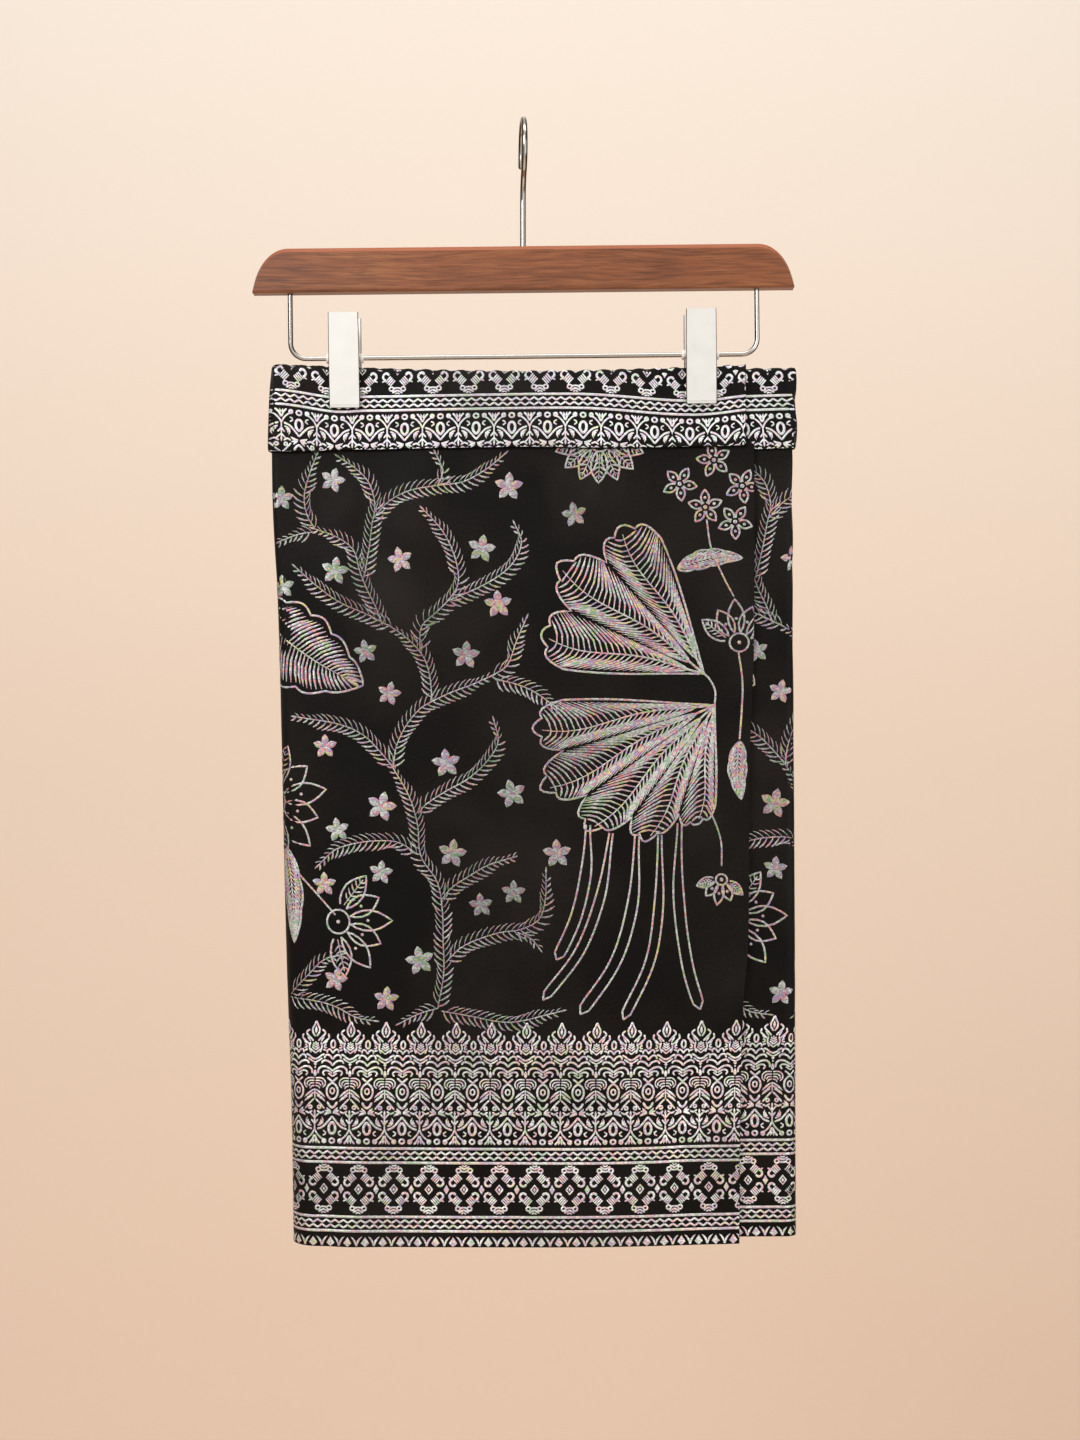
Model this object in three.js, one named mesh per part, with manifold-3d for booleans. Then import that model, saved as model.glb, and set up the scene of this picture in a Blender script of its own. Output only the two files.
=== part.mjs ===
// A pre-tied samping on its clip hanger.
//
// A samping is the short brocade wrap that is worn over trousers from the waist to the knee. This one is
// sewn ready to wear: one length of cloth goes round the body like a tube, its outer end laps over its inner
// end at the front, and its top edge is turned out into a waistband. It hangs flat from two spring clips on a
// wooden hanger.
//
// Frame, in millimetres: the origin is where the inside of the hook rests on a rail. +Z is up, X runs along
// the rail, and the front of the garment faces -Y.
import * as THREE from "three";
import { mergeVertices } from "three/addons/utils/BufferGeometryUtils.js";
import Module from "manifold-3d";

const wasm = await Module();
wasm.setup();

// ---------------------------------------------------------------- driving sizes of the cloth

const LENGTH = 613; // waist edge to hem
const WAIST_Z = -172.3; // height of the waist edge at the clips
const WAIST_SAG = 3.2; // how far the waist edge drops between the clips; the hem hangs level
const CLOTH = 1.2; // wall of a panel
const BAND = 2.0; // wall of the waistband, which is two layers with a turned edge
const GAP = 0.3; // between pieces that touch
const UNDER_DROP = 2.6; // the inner lap hangs this much lower at the waist
const UNDER_SHORT = 6.0; // and is this much shorter

// The x of both folds and of the outer lap's free edge, by the distance v below the waist edge.
const LEFT_FOLD = [
  { v: 0, x: -175.4 },
  { v: 80, x: -176.4 },
  { v: 180, x: -171.6 },
  { v: 410, x: -166.0 },
  { v: 520, x: -162.3 },
  { v: LENGTH, x: -160.8 },
];
const RIGHT_FOLD = [
  { v: 0, x: 190.0 },
  { v: 60, x: 190.0 },
  { v: 90, x: 189.3 },
  { v: 330, x: 190.9 },
  { v: LENGTH, x: 191.9 },
];
const FREE_EDGE = [
  { v: 0, x: 162.4 },
  { v: 190, x: 162.0 },
  { v: 276, x: 158.7 },
  { v: 403, x: 157.6 },
  { v: 440, x: 154.4 },
  { v: 494, x: 152.4 },
  { v: LENGTH, x: 151.0 },
];

// Where else the cloth's plan stands, at the waist and at the hem. "down" in the formulas is 0 at the waist
// edge and 1 at the hem.
const PLAN = {
  leftRadius: { waist: 1.1, hem: 19.0 }, // roundness of the left fold
  rightRadius: { waist: 1.1, hem: 8.0 }, // roundness of the right fold
  rightCentre: { waist: 1.9, hem: 2.0 }, // y of the right fold
  front: { waist: 4.5, hem: 23.0 }, // how far the outer lap stands out in the middle
  rise: { waist: 165.0, hem: 45.0 }, // it has that depth at this distance from the left fold
  edge: { waist: 3.0, hem: 12.0 }, // and at its free edge
  back: { waist: 4.5, hem: 20.0 }, // how far the back stands out
};
const UNDER_INNER_X = 40; // the inner lap ends here, hidden behind the outer lap
const UNDER_BOW = 1.0; // the inner lap stands out this much more away from its fold

// The waistband: its height at the left fold, near the middle and at the free edge.
const BAND_HEIGHT = { left: 62, middle: 56, right: 55.5 };
const BAND_SHORT = 4.0; // the band stops this much before the free edge of the outer lap
const BAND_PUFF = 0.8; // its lower edge stands proud

// Soft hollows (depth < 0) and swellings (depth > 0) of the outer lap and the back, by place and size.
const FRONT_FORMS = [
  { x: -110, v: 150, wide: 60, long: 110, depth: 2.2 },
  { x: -20, v: 300, wide: 55, long: 200, depth: -1.6 },
  { x: 90, v: 190, wide: 45, long: 120, depth: 1.8 },
  { x: 55, v: 520, wide: 40, long: 110, depth: 1.8 },
  { x: 122, v: 545, wide: 16, long: 45, depth: -2.4 },
  { x: -95, v: 520, wide: 40, long: 140, depth: -1.8 },
];
const BACK_FORMS = [
  { x: 80, v: 200, wide: 60, long: 130, depth: 2.0 },
  { x: -40, v: 380, wide: 45, long: 180, depth: -2.2 },
  { x: 110, v: 500, wide: 50, long: 120, depth: -1.6 },
  { x: -115, v: 480, wide: 40, long: 140, depth: 1.8 },
];

// ---------------------------------------------------------------- driving sizes of the hanger

const WOOD = { length: 380, height: 31, thick: 13, top: -87.5, endWide: 25.3, endHigh: 36.6, round: 2 };
const HANGER_TILT = 0.6; // degrees that the wood dips to the left of the hook
const HOOK = { wire: 4.0, inside: 19, sweep: 22, turn: 4, tipBelow: 8, seat: 16 };
const BAR = { wire: 3.5, reach: 164.2, z: -164.2, corner: 11, seat: 12 };
const CLIP = { width: 21.5, top: -134, foot: -199.6, jaw: 12, sheet: 1.5, lean: 13.0, heel: 3.0 };
const CLIPS = [
  { name: "left", x: -126, stack: 4.0 }, // stack is half the thickness of the cloth in the jaws
  { name: "right", x: 124, stack: 5.9 },
];
const SPOOL = { radius: 3.5, length: 26 };
const HOLE_CLEAR = 0.4; // round every wire that enters a hole

// ---------------------------------------------------------------- small tools

const lerp = (a, b, t) => a + (b - a) * t;
const clamp01 = (t) => Math.min(1, Math.max(0, t));
const smooth = (t) => clamp01(t) ** 2 * (3 - 2 * clamp01(t));
const along = (size, down) => lerp(size.waist, size.hem, down);
const range = (count) => Array.from({ length: count }, (_, i) => i);
const steps = (from, to, count) => range(count + 1).map((i) => lerp(from, to, i / count));
// 1 out to "flat", then falling smoothly to 0 at "far".
const plateau = (distance, flat, far) => 1 - smooth((distance - flat) / (far - flat));

// x at v, on the smooth curve through the rows of a table.
function curveThrough(table, v) {
  const last = table.length - 1;
  const at = Math.min(last - 1, Math.max(0, table.findIndex((row) => row.v > v) - 1));
  const i = v >= table[last].v ? last - 1 : at;
  const slope = (k) => {
    const [a, b] = [table[Math.max(0, k - 1)], table[Math.min(last, k + 1)]];
    return (b.x - a.x) / (b.v - a.v);
  };
  const [a, b] = [table[i], table[i + 1]];
  const span = b.v - a.v;
  const t = clamp01((v - a.v) / span);
  const bend = (slope(i) * (1 - t) - slope(i + 1) * t) * span + (b.x - a.x) * (2 * t - 1);
  return lerp(a.x, b.x, t) + t * (1 - t) * bend;
}

function material(color, roughness, metalness) {
  return new THREE.MeshStandardMaterial({ color, roughness, metalness });
}

const MATERIALS = {
  brocade: material("#221e1d", 0.55, 0.1),
  band: material("#77736f", 0.45, 0.35),
  wood: material("#7a3f24", 0.45, 0),
  wire: material("#d9d2cc", 0.18, 1),
  clip: material("#dedbd6", 0.35, 0.85),
  spool: material("#f2f0ec", 0.4, 0),
};

function named(name, geometry, look) {
  const mesh = new THREE.Mesh(geometry, MATERIALS[look]);
  mesh.name = name;
  return mesh;
}

// A closed wall from a grid of columns, each a list of { outer, inner } points from bottom to top.
function wallGeometry(grid) {
  const columns = grid.length;
  const rows = grid[0].length;
  const points = [];
  for (const column of grid) for (const { outer, inner } of column) points.push(...outer, ...inner);
  const outer = (i, j) => 2 * (i * rows + j);
  const inner = (i, j) => outer(i, j) + 1;
  const index = [];
  const quad = (a, b, c, d) => index.push(a, b, c, a, c, d);
  for (let i = 0; i + 1 < columns; i++) {
    for (let j = 0; j + 1 < rows; j++) {
      quad(outer(i, j), outer(i, j + 1), outer(i + 1, j + 1), outer(i + 1, j));
      quad(inner(i, j), inner(i + 1, j), inner(i + 1, j + 1), inner(i, j + 1));
    }
    quad(outer(i, 0), outer(i + 1, 0), inner(i + 1, 0), inner(i, 0));
    quad(outer(i, rows - 1), inner(i, rows - 1), inner(i + 1, rows - 1), outer(i + 1, rows - 1));
  }
  for (let j = 0; j + 1 < rows; j++) {
    quad(outer(0, j), inner(0, j), inner(0, j + 1), outer(0, j + 1));
    const last = columns - 1;
    quad(outer(last, j), outer(last, j + 1), inner(last, j + 1), inner(last, j));
  }
  const geometry = new THREE.BufferGeometry();
  geometry.setAttribute("position", new THREE.Float32BufferAttribute(points, 3));
  geometry.setIndex(index);
  geometry.computeVertexNormals();
  return geometry;
}

function toSolid(geometry) {
  const bare = geometry.clone();
  for (const name of ["normal", "uv"]) bare.deleteAttribute(name);
  const merged = mergeVertices(bare, 1e-4);
  return new wasm.Manifold(
    new wasm.Mesh({
      numProp: 3,
      vertProperties: new Float32Array(merged.attributes.position.array),
      triVerts: new Uint32Array(merged.index.array),
    }),
  );
}

function toGeometry(solid) {
  const { vertProperties, triVerts } = solid.getMesh();
  const geometry = new THREE.BufferGeometry();
  geometry.setAttribute("position", new THREE.BufferAttribute(new Float32Array(vertProperties), 3));
  geometry.setIndex(new THREE.BufferAttribute(new Uint32Array(triVerts), 1));
  geometry.computeVertexNormals();
  return geometry;
}

// ---------------------------------------------------------------- the plan of the wrap

// Depth of the cloth at a distance from the apex of a fold: a round corner, then a slow swell to "full".
function swell(distance, radius, full, span) {
  if (distance < radius) return Math.sqrt(Math.max(0, radius ** 2 - (radius - distance) ** 2));
  return radius + (full - radius) * smooth((distance - radius) / (span - radius));
}

// The sum of the soft forms of a side at x and v.
function forms(list, x, v) {
  return list.reduce(
    (sum, f) => sum + f.depth * Math.exp(-(((x - f.x) / f.wide) ** 2) - ((v - f.v) / f.long) ** 2),
    0,
  );
}

// The clips press the layers flat: depth goes to its place in the stack under each jaw.
const STACK = {
  over: { left: 1.1, right: 3.0 },
  back: { left: 1.1, right: 3.0 },
  under: { left: 0, right: -0.8 },
};
const JAW_REACH = { flat: 13, far: 62, flatDown: 30, farDown: 190 };

function pinched(depth, stack, x, v) {
  return CLIPS.reduce((d, clip) => {
    const grip =
      plateau(Math.abs(x - clip.x), JAW_REACH.flat, JAW_REACH.far) *
      plateau(v, JAW_REACH.flatDown, JAW_REACH.farDown);
    return lerp(d, stack[clip.name], grip);
  }, depth);
}

// Everything that the plan needs at a distance v below the waist edge.
function planAt(v) {
  const down = clamp01(v / LENGTH);
  const slow = down ** 0.9;
  return {
    v,
    left: curveThrough(LEFT_FOLD, v),
    right: curveThrough(RIGHT_FOLD, v),
    overEdge: curveThrough(FREE_EDGE, v),
    leftRadius: along(PLAN.leftRadius, down),
    rightRadius: along(PLAN.rightRadius, down),
    rightCentre: along(PLAN.rightCentre, down),
    front: along(PLAN.front, slow),
    rise: along(PLAN.rise, down),
    edge: along(PLAN.edge, slow),
    back: along(PLAN.back, slow),
  };
}

// Each stretch of the wrap gives the middle of its wall in plan as a function of u, from 0 to 1, in the
// direction from the free edge of the outer lap, round the left fold, along the back, round the right fold
// and in to the hidden edge of the inner lap. A share FOLD of each end that meets a fold is its round corner.
const FOLD = 0.16;
const HALF_GAP = GAP / 2;

function cornerAngle(share, radius) {
  return lerp(HALF_GAP / radius, Math.PI / 2, share);
}

function overPoint(u, plan) {
  const { left, leftRadius: r, front, rise, edge, overEdge, v } = plan;
  const middle = (left + overEdge) / 2;
  if (u > 1 - FOLD) {
    const angle = cornerAngle((1 - u) / FOLD, r);
    return [left + r - r * Math.cos(angle), -r * Math.sin(angle)];
  }
  const x = lerp(overEdge, left + r, u / (1 - FOLD));
  const free =
    x > middle
      ? front - (front - edge) * ((x - middle) / (overEdge - middle)) ** 2
      : swell(x - left, r, front, rise);
  const fade = smooth((x - left - r) / 60) * smooth(v / 120);
  return [x, -pinched(free + forms(FRONT_FORMS, x, v) * fade, STACK.over, x, v)];
}

function backPoint(u, plan) {
  const { left, right, leftRadius, rightRadius, rightCentre, back, v } = plan;
  if (u < FOLD) {
    const angle = cornerAngle(u / FOLD, leftRadius);
    return [left + leftRadius - leftRadius * Math.cos(angle), leftRadius * Math.sin(angle)];
  }
  if (u > 1 - FOLD) {
    const angle = cornerAngle((1 - u) / FOLD, rightRadius);
    return [right - rightRadius + rightRadius * Math.cos(angle), rightCentre + rightRadius * Math.sin(angle)];
  }
  const x = lerp(left + leftRadius, right - rightRadius, (u - FOLD) / (1 - 2 * FOLD));
  const middle = (left + right) / 2;
  const free =
    x < middle
      ? swell(x - left, leftRadius, back, middle - left)
      : rightCentre + swell(right - x, rightRadius, back - rightCentre, right - middle);
  const fade = smooth((x - left - leftRadius) / 60) * smooth((right - rightRadius - x) / 60) * smooth(v / 120);
  return [x, pinched(free + forms(BACK_FORMS, x, v) * fade, STACK.back, x, v)];
}

function underPoint(u, plan) {
  const { right, rightRadius: r, rightCentre } = plan;
  if (u < FOLD) {
    const angle = cornerAngle(u / FOLD, r);
    return [right - r + r * Math.cos(angle), rightCentre - r * Math.sin(angle)];
  }
  const x = lerp(right - r, UNDER_INNER_X, (u - FOLD) / (1 - FOLD));
  const bow = UNDER_BOW * smooth((right - r - x) / 80) * smooth(plan.v / 200);
  return [x, -pinched(r + bow - rightCentre, STACK.under, x, plan.v)];
}

// Height of the cloth: its waist edge sags between the clips and lifts a little beyond them.
function clothZ(x, v, drop) {
  const sag = WAIST_SAG * (1 - clamp01(v / LENGTH));
  return WAIST_Z - drop - v - sag * Math.cos((Math.PI * x) / 250);
}

// A point of a stretch, moved out from the middle of its wall along the plan's normal. The wrap runs
// clockwise seen from above, so its outside is on the left.
function clothPoint(stretch, u, v, out) {
  const plan = planAt(v);
  const h = 1e-3;
  const [x0, y0] = stretch.plan(Math.max(0, u - h), plan);
  const [x1, y1] = stretch.plan(Math.min(1, u + h), plan);
  const [x, y] = stretch.plan(u, plan);
  const share = out / Math.hypot(x1 - x0, y1 - y0);
  return [x - (y1 - y0) * share, y + (x1 - x0) * share, clothZ(x, v, stretch.drop)];
}

// ---------------------------------------------------------------- stretches, panels and bands

// columns: the values of u. Corners get CORNER_STEPS, the rest is even.
const CORNER_STEPS = 3;
const foldStart = (flat) => [...steps(0, FOLD, CORNER_STEPS), ...steps(FOLD, 1, flat).slice(1)];
const foldEnd = (flat) => [...steps(0, 1 - FOLD, flat), ...steps(1 - FOLD, 1, CORNER_STEPS).slice(1)];
const foldBoth = (flat) => [
  ...steps(0, FOLD, CORNER_STEPS),
  ...steps(FOLD, 1 - FOLD, flat).slice(1),
  ...steps(1 - FOLD, 1, CORNER_STEPS).slice(1),
];

const STRETCHES = {
  over: { plan: overPoint, drop: 0, length: LENGTH, columns: foldEnd(20), puff: BAND_PUFF },
  back: { plan: backPoint, drop: 0, length: LENGTH, columns: foldBoth(22), puff: BAND_PUFF },
  under: { plan: underPoint, drop: UNDER_DROP, length: LENGTH - UNDER_SHORT, columns: foldStart(8), puff: 0 },
};

const PANEL_TOP = 1.9; // the panel stops this far below the top of the band, which covers it
const PANEL_ROWS = [PANEL_TOP, 30, 60, 90, 140, 200, 265, 335, 405, 475, 545, LENGTH];

function panelGeometry(stretch) {
  const grid = stretch.columns.map((u) =>
    PANEL_ROWS.toReversed().map((row) => {
      const v = (row * stretch.length) / LENGTH;
      return {
        outer: clothPoint(stretch, u, v, CLOTH / 2),
        inner: clothPoint(stretch, u, v, -CLOTH / 2),
      };
    }),
  );
  return wallGeometry(grid);
}

function bandHeight(x) {
  const { left, middle, right } = BAND_HEIGHT;
  return x < 20 ? lerp(left, middle, smooth((x + 178) / 198)) : lerp(middle, right, (x - 20) / 170);
}

// The rows of the band from its lower edge up. share is the distance below its top as a share of its height,
// and down is that distance in millimetres. round pulls an edge in.
const PANEL_FACE = CLOTH / 2;
const BAND_IN = PANEL_FACE + GAP;
const BAND_OUT = BAND_IN + BAND;
const BAND_LEG = [
  { share: 1.0, round: 0.7 },
  { share: 0.97, round: 0 },
  { share: 0.6, round: 0 },
];
const BAND_CAP = [
  { out: BAND_OUT, down: 1.2, inOut: BAND_IN, inDown: 1.6 },
  { out: 1.8, down: 0.2, inOut: 0.5, inDown: 1.6 },
  { out: -PANEL_FACE, down: 0.6, inOut: -PANEL_FACE, inDown: 1.6 },
];

// The band turns over the panel's top edge, so its rows end on the panel's inner face.
function bandGeometry(stretch) {
  const [, ...rest] = stretch.columns;
  const start = stretch === STRETCHES.over ? (BAND_SHORT / (FREE_EDGE[0].x - LEFT_FOLD[0].x)) * (1 - FOLD) : 0;
  const grid = [start, ...rest].map((u) => {
    const height = bandHeight(stretch.plan(u, planAt(0))[0]);
    const leg = BAND_LEG.map(({ share, round }) => {
      const v = share * height;
      const puff = stretch.puff * smooth((share - 0.5) / 0.45);
      return {
        outer: clothPoint(stretch, u, v, BAND_OUT + puff - round),
        inner: clothPoint(stretch, u, v, BAND_IN + round * 0.6),
      };
    });
    const cap = BAND_CAP.map(({ out, down, inOut, inDown }) => ({
      outer: clothPoint(stretch, u, down, out),
      inner: clothPoint(stretch, u, inDown, inOut),
    }));
    return [...leg, ...cap];
  });
  return wallGeometry(grid);
}

// ---------------------------------------------------------------- the hanger

// A path with a section at each of its own points, so that straight stretches take no extra sections.
class RodPath extends THREE.Curve {
  constructor(points) {
    super();
    this.points = points;
  }

  getSpacedPoints() {
    return this.points;
  }

  getTangentAt(share) {
    const last = this.points.length - 1;
    const i = Math.round(share * last);
    const [a, b] = [this.points[Math.max(0, i - 1)], this.points[Math.min(last, i + 1)]];
    return new THREE.Vector3().subVectors(b, a).normalize();
  }
}

// A round rod through points in three dimensions.
function rod(points, diameter) {
  const section = new THREE.Shape();
  section.absarc(0, 0, diameter / 2, 0, 2 * Math.PI, false);
  return new THREE.ExtrudeGeometry(section, {
    steps: points.length - 1,
    extrudePath: new RodPath(points),
    curveSegments: 5,
  });
}

function cylinderSolid(x, z0, z1, radius) {
  const shape = new THREE.CylinderGeometry(radius, radius, z1 - z0, 16);
  shape.rotateX(Math.PI / 2);
  shape.translate(x, 0, (z0 + z1) / 2);
  return toSolid(shape);
}

function woodGeometry() {
  const { length, height, thick, top, endWide, endHigh, round } = WOOD;
  const bottom = top - height;
  // Each end is part of an ellipse whose centre is below the bottom edge.
  const centreZ = top - endHigh;
  const startAngle = Math.asin((bottom - centreZ) / endHigh);
  const centreX = length / 2 - endWide * Math.cos(startAngle);
  const outline = new THREE.Shape();
  const ends = steps(startAngle, Math.PI / 2, 7);
  const right = ends.map((a) => [centreX + endWide * Math.cos(a), centreZ + endHigh * Math.sin(a)]);
  const left = right.toReversed().map(([x, z]) => [-x, z]);
  [...right, ...left].forEach(([x, z], i) => (i ? outline.lineTo(x, z) : outline.moveTo(x, z)));
  outline.closePath();
  const body = new THREE.ExtrudeGeometry(outline, {
    depth: thick - 2 * round,
    bevelThickness: round,
    bevelSize: round,
    bevelOffset: -round,
    bevelSegments: 2,
    curveSegments: 1,
  });
  // The outline is drawn in X and Z, and the extrusion then runs along Y.
  body.rotateX(Math.PI / 2);
  body.translate(0, (thick - 2 * round) / 2, 0);
  const seat = (x, z0, z1, wire) => cylinderSolid(x, z0, z1, wire / 2 + HOLE_CLEAR);
  return toGeometry(
    toSolid(body)
      .subtract(seat(0, top - HOOK.seat - 1, top + 1, HOOK.wire + 0.6))
      .subtract(seat(-BAR.reach, bottom - 1, bottom + BAR.seat + 1, BAR.wire))
      .subtract(seat(BAR.reach, bottom - 1, bottom + BAR.seat + 1, BAR.wire)),
  );
}

// The hook lies in the YZ plane: down the back, over the rail, down the front, and by a reverse bend of
// radius "sweep" into the upright shank.
function hookGeometry() {
  const { wire, inside, sweep, tipBelow, seat, turn } = HOOK;
  const r = inside + wire / 2;
  const centreZ = -inside;
  const angleOut = Math.PI + Math.acos(sweep / (r + sweep)); // where the reverse bend begins
  const bendZ = centreZ + (r + sweep) * Math.sin(angleOut);
  const onLoop = (a) => new THREE.Vector3(0, r * Math.cos(a), centreZ + r * Math.sin(a));
  const onBend = (a) => new THREE.Vector3(0, -sweep + sweep * Math.cos(a), bendZ + sweep * Math.sin(a));
  const tip = new THREE.Vector3(0, r + 0.6, centreZ - tipBelow);
  const loop = steps(0, angleOut, 20).map(onLoop);
  const bend = steps(angleOut - Math.PI, 0, 6).map(onBend).slice(1);
  const foot = new THREE.Vector3(0, 0, WOOD.top - seat);
  const geometry = rod([tip, ...loop, ...bend, foot], wire);
  geometry.rotateZ((turn * Math.PI) / 180);
  return geometry;
}

function barGeometry() {
  const { wire, reach, z, corner, seat } = BAR;
  const top = WOOD.top - WOOD.height + seat;
  const side = (sign) => [
    new THREE.Vector3(sign * reach, 0, top),
    ...steps(0, Math.PI / 2, 5).map((a) => {
      const x = reach - corner + corner * Math.cos(a);
      return new THREE.Vector3(sign * x, 0, z + corner - corner * Math.sin(a));
    }),
  ];
  return rod([...side(-1), ...side(1).toReversed()], wire);
}

// One plate of a clip, drawn as its side profile and extruded across its width. side is -1 at the front.
function clipPlate(side, stack) {
  const { width, top, foot, jaw, sheet, lean, heel } = CLIP;
  const face = stack + GAP; // the jaw's pad against the cloth
  const outer = (z) => lerp(face + heel, lean, (z - foot) / (top - foot));
  const inner = (z) => outer(z) - sheet;
  const boss = SPOOL.radius + GAP;
  const profile = [
    [outer(top), top],
    [outer(foot), foot],
    [face, foot],
    [face, foot + jaw],
    [inner(foot + jaw + 3), foot + jaw + 3],
    [inner(BAR.z - 4), BAR.z - 4],
    [boss, BAR.z - 2],
    [boss, BAR.z + 2],
    [inner(BAR.z + 4), BAR.z + 4],
    [inner(top), top],
  ];
  const shape = new THREE.Shape(profile.map(([y, z]) => new THREE.Vector2(side * y, z)));
  const geometry = new THREE.ExtrudeGeometry(shape, { depth: width, bevelEnabled: false });
  // The profile is drawn in Y and Z, and the extrusion then runs along X.
  geometry.applyMatrix4(
    new THREE.Matrix4().makeBasis(
      new THREE.Vector3(0, 1, 0),
      new THREE.Vector3(0, 0, 1),
      new THREE.Vector3(1, 0, 0),
    ),
  );
  geometry.translate(-width / 2, 0, 0);
  return geometry;
}

function spoolGeometry() {
  const { radius, length } = SPOOL;
  const bore = BAR.wire / 2 + HOLE_CLEAR;
  const section = [
    [bore, -length / 2],
    [radius, -length / 2],
    [radius, length / 2],
    [bore, length / 2],
    [bore, -length / 2],
  ].map(([r, h]) => new THREE.Vector2(r, h));
  const geometry = new THREE.LatheGeometry(section, 16);
  geometry.rotateZ(Math.PI / 2);
  return geometry;
}

// ---------------------------------------------------------------- assembly

function garment() {
  const group = new THREE.Group();
  for (const [name, stretch] of Object.entries(STRETCHES)) {
    group.add(named(`${name}_panel`, panelGeometry(stretch), "brocade"));
    group.add(named(`${name}_band`, bandGeometry(stretch), "band"));
  }
  return group;
}

function clip({ name, x, stack }) {
  const group = new THREE.Group();
  group.position.x = x;
  group.add(named(`clip_${name}_front`, clipPlate(-1, stack), "clip"));
  group.add(named(`clip_${name}_back`, clipPlate(1, stack), "clip"));
  const spool = named(`clip_${name}_spool`, spoolGeometry(), "spool");
  spool.position.z = BAR.z;
  group.add(spool);
  return group;
}

function hanger() {
  const group = new THREE.Group();
  group.add(named("hanger_hook", hookGeometry(), "wire"));
  // The wood, the bar and the clips dip to the left about the foot of the shank.
  const pivot = new THREE.Group();
  pivot.position.z = WOOD.top;
  pivot.rotation.y = (-HANGER_TILT * Math.PI) / 180;
  const body = new THREE.Group();
  body.position.z = -WOOD.top;
  body.add(named("hanger_wood", woodGeometry(), "wood"));
  body.add(named("hanger_bar", barGeometry(), "wire"));
  CLIPS.forEach((place) => body.add(clip(place)));
  pivot.add(body);
  group.add(pivot);
  return group;
}

const samping = new THREE.Group();
samping.add(garment(), hanger());

export default samping;
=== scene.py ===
"""A ready-tied samping hanging from a wooden clip hanger.

The cloth is one thin shell wound like a tube, with its outer end lapped over its inner end at the front. Its
top edge is turned out into a waistband, which is a second shell on the first. The brocade figures are ribbons of
thread, drawn flat in the cloth's own coordinates in millimetres and then laid on the hanging cloth.

Cloth coordinates: "along" runs from the free edge of the outer lap to the viewer's left, round the left fold,
across the back, round the right fold and in to the hidden edge of the inner lap. "down" runs from the waist edge
to the hem.
"""
import logging
import math
from collections.abc import Callable, Sequence
from dataclasses import dataclass
from enum import Enum

import bpy
import numpy as np
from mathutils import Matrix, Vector
from numpy.typing import ArrayLike


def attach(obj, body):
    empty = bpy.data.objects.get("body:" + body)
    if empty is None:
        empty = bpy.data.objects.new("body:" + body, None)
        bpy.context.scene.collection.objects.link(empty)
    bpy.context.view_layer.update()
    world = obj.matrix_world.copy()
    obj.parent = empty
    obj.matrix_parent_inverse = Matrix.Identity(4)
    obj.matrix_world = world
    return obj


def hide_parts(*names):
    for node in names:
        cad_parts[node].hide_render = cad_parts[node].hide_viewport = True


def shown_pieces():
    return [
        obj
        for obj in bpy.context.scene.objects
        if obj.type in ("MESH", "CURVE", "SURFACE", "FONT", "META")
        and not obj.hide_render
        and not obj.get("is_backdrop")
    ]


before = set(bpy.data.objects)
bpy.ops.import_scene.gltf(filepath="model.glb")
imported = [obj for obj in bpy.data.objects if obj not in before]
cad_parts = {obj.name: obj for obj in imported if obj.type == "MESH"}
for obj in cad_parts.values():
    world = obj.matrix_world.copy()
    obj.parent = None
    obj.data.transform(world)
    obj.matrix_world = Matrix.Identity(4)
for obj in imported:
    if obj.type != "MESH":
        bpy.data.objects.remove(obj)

log = logging.getLogger("samping")
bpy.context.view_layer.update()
MM = 0.001
TURN = 2 * math.pi
BODY = "root"
# Least angle between two faces, in degrees, whose edge shows on a smooth piece.
SHARP = 50.0
# A thread's ridge: its least height, its growth with half the thread's width, and its greatest height, in millimetres.
RIDGE = (0.10, 0.28, 0.34)
# Threads share a tone in patches: their size along and down, how far the patches waver, and over what length.
TONE_PATCH = (8.0, 7.0, 0.4, 5.0)
# Any three numbers that scatter the patches' tones well.
SCATTER = (12.9898, 78.233, 4375.85)
# Faces of the threads below this area, in square millimetres, are left out.
LEAST_FACE = 0.002
Array = np.ndarray
Piece = bpy.types.Object
Finish = bpy.types.Material
Socket = bpy.types.NodeSocket


# ---- small formulas


def smooth(share: Array | float) -> Array | float:
    """A soft step from 0 to 1: 3 share squared minus 2 share cubed, flat below 0 and above 1."""
    t = np.clip(share, 0.0, 1.0)
    return t * t * (3.0 - 2.0 * t)


def plateau(distance: Array, flat: float, far: float) -> Array:
    """1 out to a distance (flat) and 0 beyond another (far), with one minus a soft step between."""
    return 1.0 - smooth((distance - flat) / (far - flat))


def mix(a: Array | float, b: Array | float, share: Array | float) -> Array | float:
    """The value a share of the way from a to b: a plus share times the difference."""
    return a + (b - a) * share


def curve_through(rows: Sequence[tuple[float, float]], at: Array) -> Array:
    """The smooth curve through the rows of a table, as a cubic between each two rows.

    Args:
        rows: Pairs of place and value, in rising order of place.
        at: Places to read the curve at; beyond the table it keeps its end values.

    Returns:
        Values of the shape of at. The slope at a row is that of the line between its two neighbours.
    """
    place, value = np.array(rows, dtype=float).T
    before = np.r_[0, np.arange(len(place) - 1)]
    after = np.r_[np.arange(1, len(place)), len(place) - 1]
    slope = (value[after] - value[before]) / (place[after] - place[before])
    i = np.clip(np.searchsorted(place, at, side="right") - 1, 0, len(place) - 2)
    span = place[i + 1] - place[i]
    t = np.clip((at - place[i]) / span, 0.0, 1.0)
    rise = value[i + 1] - value[i]
    bend = (slope[i] * (1 - t) - slope[i + 1] * t) * span + rise * (2 * t - 1)
    return value[i] + rise * t + t * (1 - t) * bend


# ---- meshes


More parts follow.
